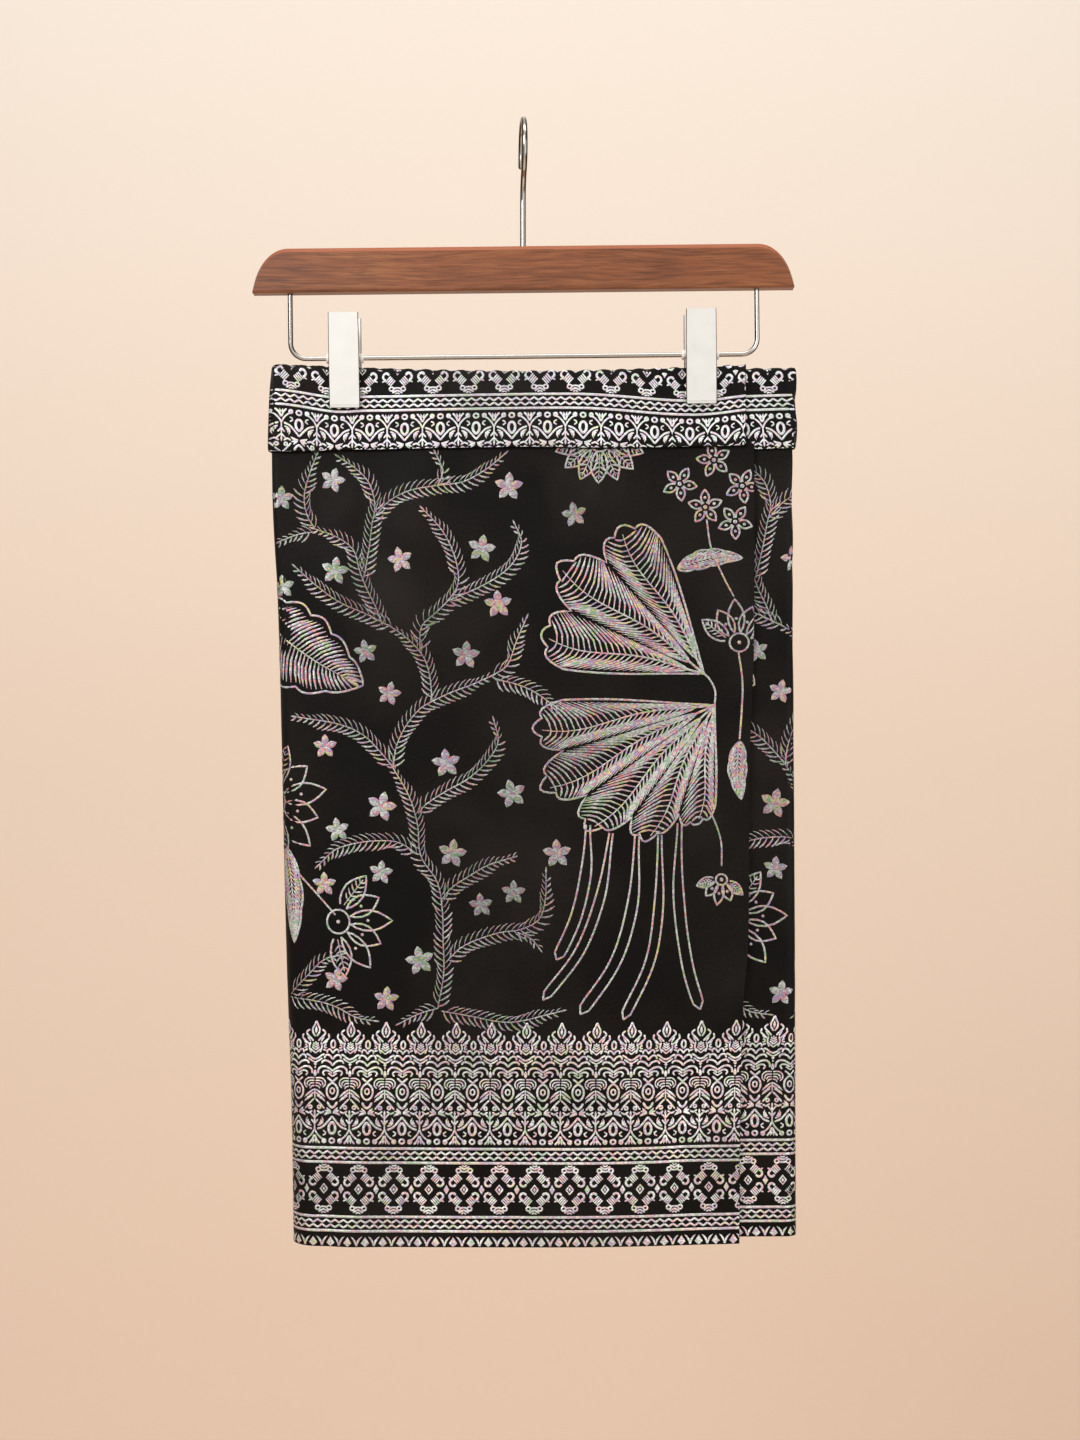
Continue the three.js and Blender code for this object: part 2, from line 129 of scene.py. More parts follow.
def mesh_object(
    name: str, points: Array, quads: Array, uv: Array | None = None,
    tone: Array | None = None, sharp: float = SHARP,
) -> Piece:
    """A mesh object of quads, at the origin.

    Args:
        name: The object's name.
        points: Vertices in metres, (n, 3).
        quads: Vertex numbers, (m, 4), turned so that each face points outwards.
        uv: The cloth's own coordinates of each vertex in metres, (n, 2), or None.
        tone: A number from 0 to 1 for each vertex, which tells threads apart, or None.
        sharp: Least angle between two faces, in degrees, whose edge shows.

    Returns:
        The linked object, shaded smooth but for its sharp edges.
    """
    mesh = bpy.data.meshes.new(name)
    mesh.vertices.add(len(points))
    mesh.vertices.foreach_set("co", np.ascontiguousarray(points, dtype=np.float32).ravel())
    mesh.loops.add(quads.size)
    mesh.loops.foreach_set("vertex_index", np.ascontiguousarray(quads, dtype=np.int32).ravel())
    mesh.polygons.add(len(quads))
    mesh.polygons.foreach_set("loop_start", np.arange(0, quads.size, 4, dtype=np.int32))
    if uv is not None:
        layer = mesh.uv_layers.new(name="cloth")
        layer.data.foreach_set("uv", np.ascontiguousarray(uv[quads.ravel()], dtype=np.float32).ravel())
    if tone is not None:
        attribute = mesh.attributes.new("tone", "FLOAT", "POINT")
        attribute.data.foreach_set("value", np.ascontiguousarray(tone, dtype=np.float32))
    mesh.update(calc_edges=True)
    mesh.validate()
    mesh.polygons.foreach_set("use_smooth", np.ones(len(mesh.polygons), dtype=bool))
    mesh.set_sharp_from_angle(angle=math.radians(sharp))
    piece = bpy.data.objects.new(name, mesh)
    bpy.context.scene.collection.objects.link(piece)
    return piece


def grid_quads(rows: int, columns: int, start: int = 0) -> Array:
    """The faces of a grid whose vertices run row by row.

    Args:
        rows: Number of rows of vertices.
        columns: Number of vertices in a row.
        start: Number of the first vertex.

    Returns:
        Vertex numbers, ((rows - 1) * (columns - 1), 4); each face points along (next row) x (next column).
    """
    corner = start + np.arange(rows * columns).reshape(rows, columns)
    a, b = corner[:-1, :-1], corner[1:, :-1]
    c, d = corner[1:, 1:], corner[:-1, 1:]
    return np.stack([a, b, c, d], axis=-1).reshape(-1, 4)


def loft(name: str, *solids: Array, sharp: float = SHARP) -> Piece:
    """One object of closed solids through rings of points, with a fan of quads over each first and last ring.

    Args:
        name: The object's name.
        solids: Points in metres, (rings, points, 3); each ring runs so that ring x next ring points outwards.
        sharp: Least angle between two faces, in degrees, whose edge shows.

    Returns:
        The object.
    """
    quads, start = [], 0
    for rings in solids:
        count, size, _ = rings.shape
        number = start + np.arange(count * size).reshape(count, size)
        turned = np.roll(number, -1, axis=1)
        sides = np.stack([number[:-1], turned[:-1], turned[1:], number[1:]], axis=-1).reshape(-1, 4)
        low = start + np.arange(size // 2 - 1)
        high = 2 * start + size - 1 - low
        fan = np.stack([low, high, high - 1, low + 1], axis=-1)
        quads += [sides, fan, (count - 1) * size + fan[:, ::-1]]
        start += count * size
    points = np.concatenate([rings.reshape(-1, 3) for rings in solids])
    return mesh_object(name, points, np.concatenate(quads), sharp=sharp)


def finish_piece(piece: Piece, material: Finish, slot: str, *nodes: str) -> Piece:
    """Gives a piece its material and ties it to the frame.

    Args:
        piece: The piece.
        material: Its material.
        slot: Not used.
        nodes: CAD nodes that the piece stands for.

    Returns:
        The piece.
    """
    piece.data.materials.append(material)
    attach(piece, BODY)
    if nodes:
        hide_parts(*nodes)
    return piece


# ---- materials


def linear(colour: str) -> tuple[float, float, float, float]:
    """A colour that is written as sRGB hex, in linear light.

    Args:
        colour: Such as "#7a4630".

    Returns:
        Red, green, blue and alpha, by the sRGB curve.
    """
    parts = [int(colour[i : i + 2], 16) / 255 for i in (1, 3, 5)]
    bright = [c / 12.92 if c <= 0.04045 else ((c + 0.055) / 1.055) ** 2.4 for c in parts]
    return bright[0], bright[1], bright[2], 1.0


class Recipe:
    """A node material under construction."""

    def __init__(self, name: str) -> None:
        """Starts a material with its surface shader.

        Args:
            name: The material's name.
        """
        self.material = bpy.data.materials.new(name)
        self.material.use_nodes = True
        self.tree = self.material.node_tree
        self.shader = self.tree.nodes["Principled BSDF"]

    def add(self, kind: str, *values: object, stops: Sequence[tuple[float, str]] = (), **named: object) -> Socket:
        """Adds a node with its settings and links.

        Args:
            kind: The node's type name, without "ShaderNode".
            values: Values or sockets for its first inputs, in order.
            stops: Places and sRGB hex colours, where the node is a colour ramp.
            named: Its own settings by their names, and values or sockets for inputs, either by name with a
                capital and _ for a space, or by number as i6.

        Returns:
            The node's first output.
        """
        node = self.tree.nodes.new("ShaderNode" + kind)
        for key, value in named.items():
            if key[0].isupper():
                self.plug(node.inputs[key.replace("_", " ")], value)
            elif key[1:].isdigit():
                self.plug(node.inputs[int(key[1:])], value)
            else:
                setattr(node, key, value)
        for socket, value in zip(node.inputs, values):
            self.plug(socket, value)
        for number, (place, shade) in enumerate(stops):
            elements = node.color_ramp.elements
            # A new ramp has two stops of its own.
            element = elements[number] if number < 2 else elements.new(place)
            element.position, element.color = place, linear(shade)
        return node.outputs[0]

    def plug(self, socket: Socket, value: object) -> None:
        """Joins a socket to another, or sets its value.

        Args:
            socket: An input.
            value: An output socket or a plain value.
        """
        if isinstance(value, Socket):
            self.tree.links.new(value, socket)
        else:
            socket.default_value = value

    def surface(self, **inputs: object) -> Finish:
        """Sets the surface shader's inputs.

        Args:
            inputs: Values or sockets by name, with _ for a space.

        Returns:
            The finished material.
        """
        for key, value in inputs.items():
            self.plug(self.shader.inputs[key.replace("_", " ")], value)
        return self.material


# The scale of a noise is in cells a metre. A wave's scale is worked out from the width of one of its bands.


@dataclass(frozen=True)
class Brocade:
    """Black twill woven of fine matt yarn: nearly black, with slanting ribs that catch a little light."""

    colour: str = "#070503"
    # Colour of the lighter broad patches: partly wear, partly a painted sheen.
    wear_and_sheen: str = "#1d1815"
    sheen: str = "#8a8a90"
    # A rib is drawn about twice as wide as the real one, so that it shows.
    rib: float = 1.1 * MM
    rib_angle: float = 35.0
    rib_depth: float = 0.12 * MM

    def build(self) -> Finish:
        """Makes the material.

        Returns:
            A black twill with fine slanting ribs and a faint cool sheen.
        """
        r = Recipe("brocade_ground")
        cloth = r.add("UVMap", uv_map="cloth")
        twill = r.add("Mapping", Vector=cloth, Rotation=(0, 0, math.radians(self.rib_angle)))
        rib = r.add(
            "TexWave", bands_direction="X", Vector=twill, Scale=TURN / 20 / self.rib, Distortion=0.4, Detail=1.0,
            Detail_Scale=2.0,
        )
        # Broad patches of about 110 mm, partly wear and partly a painted sheen, and flecks of 0.7 mm across.
        cloud = r.add("TexNoise", Vector=cloth, Scale=9, Detail=4)
        fleck = r.add("TexNoise", Vector=r.add("Mapping", Vector=cloth, Scale=(1, 0.35, 1)), Scale=1400, Detail=2)
        shade = r.add(
            "Math", fleck, 0.3, r.add("Math", cloud, 0.7, operation="MULTIPLY"), operation="MULTIPLY_ADD"
        )
        height = r.add(
            "Math", fleck, 0.5, r.add("Math", rib, 0.7, operation="MULTIPLY"), operation="MULTIPLY_ADD"
        )
        return r.surface(
            Base_Color=r.add("ValToRGB", shade, stops=((0.44, self.colour), (0.66, self.wear_and_sheen))),
            Roughness=r.add("MapRange", cloud, To_Min=0.62, To_Max=0.42),
            Specular_IOR_Level=0.1,
            Sheen_Weight=0.02,
            Sheen_Roughness=0.45,
            Sheen_Tint=linear(self.sheen),
            Normal=r.add("Bump", Height=height, Distance=self.rib_depth, Strength=0.5),
        )


@dataclass(frozen=True)
class MetalThread:
    """Flat metallised film wound on a core: bright and tinted like mother of pearl, dull where it dips."""

    name: str
    grey: str = "#909690"
    pale: str = "#c8cac4"
    rose: str = "#d08280"
    gold: str = "#c8b070"
    mint: str = "#78ae8a"
    lilac: str = "#a096be"
    dull: float = 0.42
    dark: str = "#4c5250"
    # A turn of the film is drawn about twice as wide as the real one, so that it shows.
    wire: float = 0.55 * MM
    wire_depth: float = 0.1 * MM
    metal: float = 0.55
    # How much more of the dark shows in broad random patches.
    patchy: float = 0.32

    def build(self) -> Finish:
        """Makes the material.

        Returns:
            A metallic thread whose tint changes along it in streaks, with the fine lines of its weft.
        """
        r = Recipe(self.name)
        cloth = r.add("UVMap", uv_map="cloth")
        tone = r.add("Attribute", attribute_name="tone").node.outputs["Fac"]
        # The tint goes round its colours by streaks of 4 mm, patches of 26 mm and the thread's own number.
        streak = r.add("TexNoise", Vector=r.add("Mapping", Vector=cloth, Scale=(0.7, 1, 1)), Scale=260, Detail=2)
        patch = r.add("TexNoise", Vector=cloth, Scale=38, Detail=2)
        hue = r.add("Math", streak, 2.2, r.add("Math", patch, 1.6, operation="MULTIPLY"), operation="MULTIPLY_ADD")
        hue = r.add("Math", r.add("Math", tone, 0.3, hue, operation="MULTIPLY_ADD"), operation="FRACT")
        tint = r.add("ValToRGB", hue, stops=(
            (0.0, self.grey), (0.12, self.lilac), (0.25, self.rose), (0.37, self.pale), (0.5, self.gold),
            (0.62, self.mint), (0.74, self.grey), (0.88, self.pale),
        ))
        weft = r.add(
            "TexWave", bands_direction="Y", Vector=cloth, Scale=TURN / 20 / self.wire, Distortion=1.2, Detail=1.0,
            Detail_Scale=4.0,
        )
        cloud = r.add("TexNoise", Vector=cloth, Scale=8.5, Detail=2)
        dull_patches = r.add("MapRange", cloud, From_Min=0.44, From_Max=0.64, To_Max=self.patchy)
        share = r.add("Math", r.add("MapRange", weft, To_Min=self.dull, To_Max=0.0), dull_patches)
        dulled = r.add("Mix", data_type="RGBA", blend_type="MULTIPLY", Factor=share, i6=tint, i7=linear(self.dark))
        return r.surface(
            Base_Color=dulled.node.outputs[2],
            Metallic=self.metal,
            Roughness=r.add("MapRange", streak, To_Min=0.26, To_Max=0.5),
            Normal=r.add("Bump", Height=weft, Distance=self.wire_depth, Strength=0.6),
        )


@dataclass(frozen=True)
class Walnut:
    """Planed walnut, stained and lacquered: red-brown with long grain, and redder along its top, partly rubbed and
    partly a painted highlight.
    """

    dark: str = "#57311d"
    middle: str = "#7d4829"
    light: str = "#98643c"
    pore: str = "#2c150d"
    top_rub_and_highlight: str = "#a2522a"
    relief: float = 0.15 * MM

    def build(self) -> Finish:
        """Makes the material.

        Returns:
            Red-brown wood with long grain, short dark pores and a satin lacquer.
        """
        r = Recipe("walnut")
        where = r.add("TexCoord").node.outputs["Object"]
        warp = r.add("TexNoise", Vector=r.add("Mapping", Vector=where, Scale=(0.3, 1, 1)), Scale=14, Detail=2)
        rise = r.add("Math", warp, 0.02, operation="MULTIPLY")
        bent = r.add("VectorMath", where, r.add("CombineXYZ", Z=rise))
        # Grain of 2 mm, bands of 70 mm and pores of 1 mm across, all drawn out along the wood.
        grain, broad, pores = (
            r.add("TexNoise", Vector=r.add("Mapping", Vector=bent, Scale=stretch), Scale=scale, Detail=detail)
            for stretch, scale, detail in (
                ((0.06, 1.0, 1.0), 560, 4), ((0.5, 1.0, 1.6), 14, 3), ((0.045, 1.0, 1.0), 900, 2),
            )
        )
        shade = r.add(
            "Math", grain, 0.55, r.add("Math", broad, 0.45, operation="MULTIPLY"), operation="MULTIPLY_ADD"
        )
        wood = r.add("ValToRGB", shade, stops=((0.30, self.dark), (0.5, self.middle), (0.72, self.light)))
        opened = r.add("MapRange", pores, From_Min=0.36, From_Max=0.46, To_Min=1.0, To_Max=0.0)
        pored = r.add(
            "Mix", data_type="RGBA", Factor=r.add("Math", opened, 0.4, operation="MULTIPLY"), i6=wood,
            i7=linear(self.pore),
        )
        # Faces that look up turn redder: partly rubbed lacquer, partly a painted highlight of the light from above.
        normal = r.add("NewGeometry").node.outputs["True Normal"]
        upward = r.add("SeparateXYZ", Vector=normal).node.outputs["Z"]
        wear_and_sheen = r.add(
            "Mix", data_type="RGBA", Factor=r.add("MapRange", upward, From_Min=0.3, From_Max=0.6, To_Max=0.6),
            i6=pored.node.outputs[2], i7=linear(self.top_rub_and_highlight),
        )
        height = r.add("Math", opened, -0.5, grain, operation="MULTIPLY_ADD")
        return r.surface(
            Base_Color=wear_and_sheen.node.outputs[2],
            Roughness=r.add("MapRange", grain, To_Min=0.34, To_Max=0.5),
            Specular_IOR_Level=0.35,
            Coat_Weight=0.16,
            Coat_Roughness=0.25,
            Normal=r.add("Bump", Height=height, Distance=self.relief, Strength=0.4),
        )


@dataclass(frozen=True)
class Plate:
    """Nickel plated on steel: pale and smooth, and dark brown on its flanks: on a wire a painted reflection of darker
    surroundings, on a clip plate partly its bare sheared edge and partly painted shade.
    """

    name: str
    colour: str
    roughness: float
    brush: tuple[float, float, float] = (1.0, 1.0, 0.04)
    brush_depth: float = 0.02 * MM
    metal: float = 1.0
    # Colour of what looks to the left and right: painted shade and reflection, and on a clip plate partly its bare
    # sheared edge.
    flank_shade: str = "#4c3a30"
    # How far a face looks sideways where that colour starts, and where it is full.
    flank_shade_range: tuple[float, float] = (0.2, 0.25)

    def build(self) -> Finish:
        """Makes the material.

        Returns:
            Plated metal with faint brushing and handling marks.
        """
        r = Recipe(self.name)
        where = r.add("TexCoord").node.outputs["Object"]
        # Brushing of 0.7 mm, and marks of 8 mm.
        brushed = r.add("TexNoise", Vector=r.add("Mapping", Vector=where, Scale=self.brush), Scale=1500, Detail=2)
        marks = r.add("TexNoise", Vector=where, Scale=120, Detail=4)
        rough = r.add("MapRange", marks, To_Min=self.roughness * 0.8, To_Max=self.roughness * 1.15)
        # Faces that look to the left or right take the flank colour: a painted shade and reflection.
        sideways = r.add("SeparateXYZ", Vector=r.add("NewGeometry").node.outputs["Normal"])
        start, full = self.flank_shade_range
        return r.surface(
            Base_Color=r.add(
                "ValToRGB", r.add("Math", sideways, operation="ABSOLUTE"),
                stops=((start, self.colour), (full, self.flank_shade)),
            ),
            Metallic=self.metal,
            Roughness=r.add("Math", brushed, 0.06, rough, operation="MULTIPLY_ADD"),
            Normal=r.add("Bump", Height=brushed, Distance=self.brush_depth, Strength=0.35),
        )


@dataclass(frozen=True)
class Moulded:
    """Moulded white plastic: clean, with the soft grain of its mould."""

    colour: str = "#fbf9f6"
    soiled: str = "#e6e0d8"
    grain_depth: float = 0.03 * MM

    def build(self) -> Finish:
        """Makes the material.

        Returns:
            White plastic with a soft moulded grain.
        """
        r = Recipe("moulded_white")
        grain = r.add("TexNoise", Vector=r.add("TexCoord").node.outputs["Object"], Scale=1800, Detail=2)
        return r.surface(
            Base_Color=r.add("ValToRGB", grain, stops=((0.3, self.colour), (0.7, self.soiled))),
            Roughness=r.add("MapRange", grain, To_Min=0.35, To_Max=0.5),
            Normal=r.add("Bump", Height=grain, Distance=self.grain_depth, Strength=0.4),
        )


# ---- the hanging wrap


@dataclass(frozen=True)
class Swell:
    """A soft hollow or swelling of the hanging cloth, in the frame's x and the cloth's own down."""

    x: float
    down: float
    wide: float
    long: float
    depth: float


@dataclass(frozen=True)
class Crease:
    """A soft uneven trough (depth below 0) or ridge in cloth coordinates, in millimetres and degrees.

    slant turns it from upright; positive leans its top towards larger along.
    """

    along: float
    down: float
    length: float
    width: float
    depth: float
    slant: float = 0.0
    # Sideways waver as a share of the width, and its length as a share of the crease's.
    waver: float = 0.12
    waver_length: float = 0.22

    def height(self, along: Array, down: Array) -> Array:
        """How far the crease moves the cloth out.

        Args:
            along: Cloth coordinates.
            down: Cloth coordinates.

        Returns:
            The depth, times a bell across the crease and a wider, slightly wavering bell down it.
        """
        angle = math.radians(self.slant)
        x, y = along - self.along, down - self.down
        lengthwise = y * math.cos(angle) - x * math.sin(angle)
        across = x * math.cos(angle) + y * math.sin(angle)
        wave = np.sin(lengthwise / (self.waver_length * self.length) + self.along)
        across = across + self.waver * self.width * wave
        return self.depth * np.exp(-((across / self.width) ** 2) - (lengthwise / self.length) ** 2)


@dataclass(frozen=True)
class WrapPlan:
    """Where the middle of the cloth's wall stands at each height, by the same formulas as the solids.

    Lengths are in millimetres. A pair is the size at the waist and at the hem.
    """

    length: float = 613.0
    waist_z: float = -172.3
    waist_sag: float = 3.2
    under_drop: float = 2.6
    under_short: float = 6.0
    under_inner_x: float = 40.0
    under_bow: float = 1.0
    fold_share: float = 0.16
    left_fold: tuple = ((0, -175.4), (80, -176.4), (180, -171.6), (410, -166.0), (520, -162.3), (613, -160.8))
    right_fold: tuple = ((0, 190.0), (60, 190.0), (90, 189.3), (330, 190.9), (613, 191.9))
    free_edge: tuple = (
        (0, 162.4), (190, 162.0), (276, 158.7), (403, 157.6), (440, 154.4), (494, 152.4), (613, 151.0),
    )
    left_radius: tuple[float, float] = (1.1, 19.0)
    right_radius: tuple[float, float] = (1.1, 8.0)
    right_centre: tuple[float, float] = (1.9, 2.0)
    front_depth: tuple[float, float] = (4.5, 23.0)
    front_rise: tuple[float, float] = (165.0, 45.0)
    edge_depth: tuple[float, float] = (3.0, 12.0)
    back_depth: tuple[float, float] = (4.5, 20.0)
    clips_x: tuple[float, float] = (-126.0, 124.0)
    # Where the clips' grip is full and where it has ended, across and down.
    grip_across: tuple[float, float] = (13.0, 62.0)
    grip_down: tuple[float, float] = (30.0, 190.0)
    # Lengths over which swellings grow, away from a fold and from the waist.
    fold_fade: float = 60.0
    waist_fade: float = 120.0
    # The same for the bow of the inner lap.
    bow_fade: tuple[float, float] = (80.0, 200.0)
    # Below 1, the cloth deepens sooner below the waist.
    deepening: float = 0.9
    over_stack: tuple[float, float] = (1.1, 3.0)
    back_stack: tuple[float, float] = (1.1, 3.0)
    under_stack: tuple[float, float] = (0.0, -0.8)
    front_swells: tuple[Swell, ...] = (
        Swell(-110, 150, 60, 110, 2.2),
        Swell(-20, 300, 55, 200, -1.6),
        Swell(90, 190, 45, 120, 1.8),
        Swell(55, 520, 40, 110, 1.8),
        Swell(122, 545, 16, 45, -2.4),
        Swell(-95, 520, 40, 140, -1.8),
    )
    back_swells: tuple[Swell, ...] = (
        Swell(80, 200, 60, 130, 2.0),
        Swell(-40, 380, 45, 180, -2.2),
        Swell(110, 500, 50, 120, -1.6),
        Swell(-115, 480, 40, 140, 1.8),
    )

    @staticmethod
    def fold_swell(distance: Array, radius: Array, full: Array, span: Array) -> Array:
        """Depth of the cloth at a distance from the apex of a fold.

        Args:
            distance: Distance across from the apex.
            radius: Roundness of the fold.
            full: Depth in the middle.
            span: Distance of the middle.

        Returns:
            A quarter circle, then a soft step up to full.
        """
        circle = np.sqrt(np.maximum(0.0, radius**2 - (radius - distance) ** 2))
        slope = radius + (full - radius) * smooth((distance - radius) / (span - radius))
        return np.where(distance < radius, circle, slope)

    @staticmethod
    def swells(listed: Sequence[Swell], x: Array, down: Array) -> Array:
        """The depths that a side's hollows and swellings, each a bell over x and down, add up to."""
        bells = [f.depth * np.exp(-(((x - f.x) / f.wide) ** 2) - ((down - f.down) / f.long) ** 2) for f in listed]
        return np.sum(bells, axis=0)

    def pinched(self, depth: Array, stack: Sequence[float], x: Array, down: Array) -> Array:
        """Presses the layers flat under each clip.

        Args:
            depth: Free depth.
            stack: The layer's depth in the left and the right clip.
            x: The frame's x.
            down: Distance below the waist edge.

        Returns:
            The free depth, drawn towards the stack's near each jaw.
        """
        for clip_x, held in zip(self.clips_x, stack):
            grip = plateau(np.abs(x - clip_x), *self.grip_across) * plateau(down, *self.grip_down)
            depth = mix(depth, held, grip)
        return depth

    def outline(self, down: Array) -> dict[str, Array]:
        """Sizes of the plan at each height.

        Args:
            down: Distances below the waist edge.

        Returns:
            Sizes by name.
        """
        share = np.clip(down / self.length, 0, 1)
        slow = share**self.deepening
        return {
            "left": curve_through(self.left_fold, down),
            "right": curve_through(self.right_fold, down),
            "edge_x": curve_through(self.free_edge, down),
            "left_r": mix(*self.left_radius, share),
            "right_r": mix(*self.right_radius, share),
            "right_y": mix(*self.right_centre, share),
            "front": mix(*self.front_depth, slow),
            "rise": mix(*self.front_rise, share),
            "edge": mix(*self.edge_depth, slow),
            "back": mix(*self.back_depth, slow),
        }

    def outer_lap(self, u: Array, down: Array) -> tuple[Array, Array]:
        """The outer lap, from its free edge (u 0) to the apex of the left fold (u 1).

        Args:
            u: Shares of the way.
            down: Distances below the waist edge.

        Returns:
            x and y.
        """
        s = self.outline(down)
        angle = (1 - u) / self.fold_share * math.pi / 2
        round_x = s["left"] + s["left_r"] * (1 - np.cos(angle))
        round_y = -s["left_r"] * np.sin(angle)
        middle = (s["left"] + s["edge_x"]) / 2
        x = mix(s["edge_x"], s["left"] + s["left_r"], u / (1 - self.fold_share))
        towards_edge = s["front"] - (s["front"] - s["edge"]) * ((x - middle) / (s["edge_x"] - middle)) ** 2
        towards_fold = self.fold_swell(x - s["left"], s["left_r"], s["front"], s["rise"])
        fade = smooth((x - s["left"] - s["left_r"]) / self.fold_fade) * smooth(down / self.waist_fade)
        free = np.where(x > middle, towards_edge, towards_fold) + self.swells(self.front_swells, x, down) * fade
        y = -self.pinched(free, self.over_stack, x, down)
        folded = u > 1 - self.fold_share
        return np.where(folded, round_x, x), np.where(folded, round_y, y)

    def back(self, u: Array, down: Array) -> tuple[Array, Array]:
        """The back, from the apex of the left fold to that of the right fold.

        Args:
            u: Shares of the way.
            down: Distances below the waist edge.

        Returns:
            x and y.
        """
        s = self.outline(down)
        start, end = u / self.fold_share * math.pi / 2, (1 - u) / self.fold_share * math.pi / 2
        share = (u - self.fold_share) / (1 - 2 * self.fold_share)
        x = mix(s["left"] + s["left_r"], s["right"] - s["right_r"], share)
        middle = (s["left"] + s["right"]) / 2
        near_left = self.fold_swell(x - s["left"], s["left_r"], s["back"], middle - s["left"])
        near_right = s["right_y"] + self.fold_swell(
            s["right"] - x, s["right_r"], s["back"] - s["right_y"], s["right"] - middle
        )
        fade = smooth((x - s["left"] - s["left_r"]) / self.fold_fade)
        fade = fade * smooth((s["right"] - s["right_r"] - x) / self.fold_fade)
        swells = self.swells(self.back_swells, x, down) * fade * smooth(down / self.waist_fade)
        y = self.pinched(np.where(x < middle, near_left, near_right) + swells, self.back_stack, x, down)
        left, right = u < self.fold_share, u > 1 - self.fold_share
        x = np.where(left, s["left"] + s["left_r"] * (1 - np.cos(start)), x)
        y = np.where(left, s["left_r"] * np.sin(start), y)
        x = np.where(right, s["right"] - s["right_r"] * (1 - np.cos(end)), x)
        y = np.where(right, s["right_y"] + s["right_r"] * np.sin(end), y)
        return x, y

    def inner_lap(self, u: Array, down: Array) -> tuple[Array, Array]:
        """The inner lap, from the apex of the right fold to its hidden edge.

        Args:
            u: Shares of the way.
            down: Distances below the waist edge.

        Returns:
            x and y.
        """
        s = self.outline(down)
        angle = u / self.fold_share * math.pi / 2
        round_x = s["right"] - s["right_r"] * (1 - np.cos(angle))
        round_y = s["right_y"] - s["right_r"] * np.sin(angle)
        x = mix(s["right"] - s["right_r"], self.under_inner_x, (u - self.fold_share) / (1 - self.fold_share))
        bow = self.under_bow * smooth((s["right"] - s["right_r"] - x) / self.bow_fade[0])
        bow = bow * smooth(down / self.bow_fade[1])
        y = -self.pinched(s["right_r"] + bow - s["right_y"], self.under_stack, x, down)
        folded = u < self.fold_share
        return np.where(folded, round_x, x), np.where(folded, round_y, y)


class Cloth:
    """A sheet of cloth as a grid of points and normals over its own flat coordinates, in millimetres."""

    def __init__(self, along: Array, down: Array, points: Array) -> None:
        """Keeps the grid and works out its normals.

        Args:
            along: Even coordinates of the grid's rows.
            down: Rising coordinates of its columns.
            points: Places in millimetres, (along, down, 3).
        """
        self.along, self.down, self.points = along, down, points
        across = np.gradient(points, axis=0)
        downward = np.gradient(points, axis=1)
        normal = np.cross(across, downward)
        self.normals = normal / np.maximum(np.linalg.norm(normal, axis=-1, keepdims=True), 1e-9)

    def at(self, along: Array, down: Array, out: Array | float) -> Array:
        """Places on or above the cloth.

        Args:
            along: Cloth coordinates.
            down: Cloth coordinates.
            out: Distance out from the cloth's middle.

        Returns:
            Points in millimetres, found by straight mixing between the grid's four nearest points.
        """
        i = np.clip(np.searchsorted(self.along, along, side="right") - 1, 0, len(self.along) - 2)
        j = np.clip(np.searchsorted(self.down, down, side="right") - 1, 0, len(self.down) - 2)
        a = np.clip((along - self.along[i]) / (self.along[i + 1] - self.along[i]), 0, 1)[..., None]
        b = np.clip((down - self.down[j]) / (self.down[j + 1] - self.down[j]), 0, 1)[..., None]

        def blend(grid: Array) -> Array:
            """Mixes a grid's four nearest points.

            Args:
                grid: Points or normals.

            Returns:
                The mixed value at each place.
            """
            near = mix(grid[i, j], grid[i + 1, j], a)
            far = mix(grid[i, j + 1], grid[i + 1, j + 1], a)
            return mix(near, far, b)

        return blend(self.points) + blend(self.normals) * np.asarray(out)[..., None]

    def tucked(self, reach: float, shift: float, depth: float, soft: float) -> "Cloth":
        """The sheet with the top of its free edge drawn in.

        Args:
            reach: How far along the sheet is gathered.
            shift: How far the edge goes.
            depth: Down to where.
            soft: Height over which the tuck then ends.

        Returns:
            The sheet.
        """
        along, down = np.meshgrid(self.along, self.down, indexing="ij")
        share = np.clip(1 - along / reach, 0, 1) * (1 - smooth((down - depth) / soft))
        return Cloth(self.along, self.down, self.at(along + shift * share, down, 0.0))


def closed_sheet(name: str, cloth: Cloth, outer: Array, inner: Array) -> Piece:
    """A closed shell between two faces over the same grid.

    Args:
        name: The object's name.
        cloth: The sheet that gives the flat coordinates.
        outer: Points of the outer face in millimetres, (along, down, 3).
        inner: Points of the inner face.

    Returns:
        The object.
    """
    rows, columns = outer.shape[:2]
    count = rows * columns
    flat = np.stack(np.meshgrid(cloth.along, cloth.down, indexing="ij"), axis=-1).reshape(-1, 2)
    front = grid_quads(rows, columns)
    back = grid_quads(rows, columns, count)[:, ::-1]
    number = np.arange(count).reshape(rows, columns)
    rims = [
        np.stack([line[:-1], line[1:], line[1:] + count, line[:-1] + count], axis=-1)
        for line in (number[0], number[-1, ::-1], number[::-1, 0], number[:, -1])
    ]
    points = np.concatenate([outer.reshape(-1, 3), inner.reshape(-1, 3)])
    return mesh_object(name, points * MM, np.concatenate([front, back, *rims]), np.concatenate([flat, flat]) * MM)


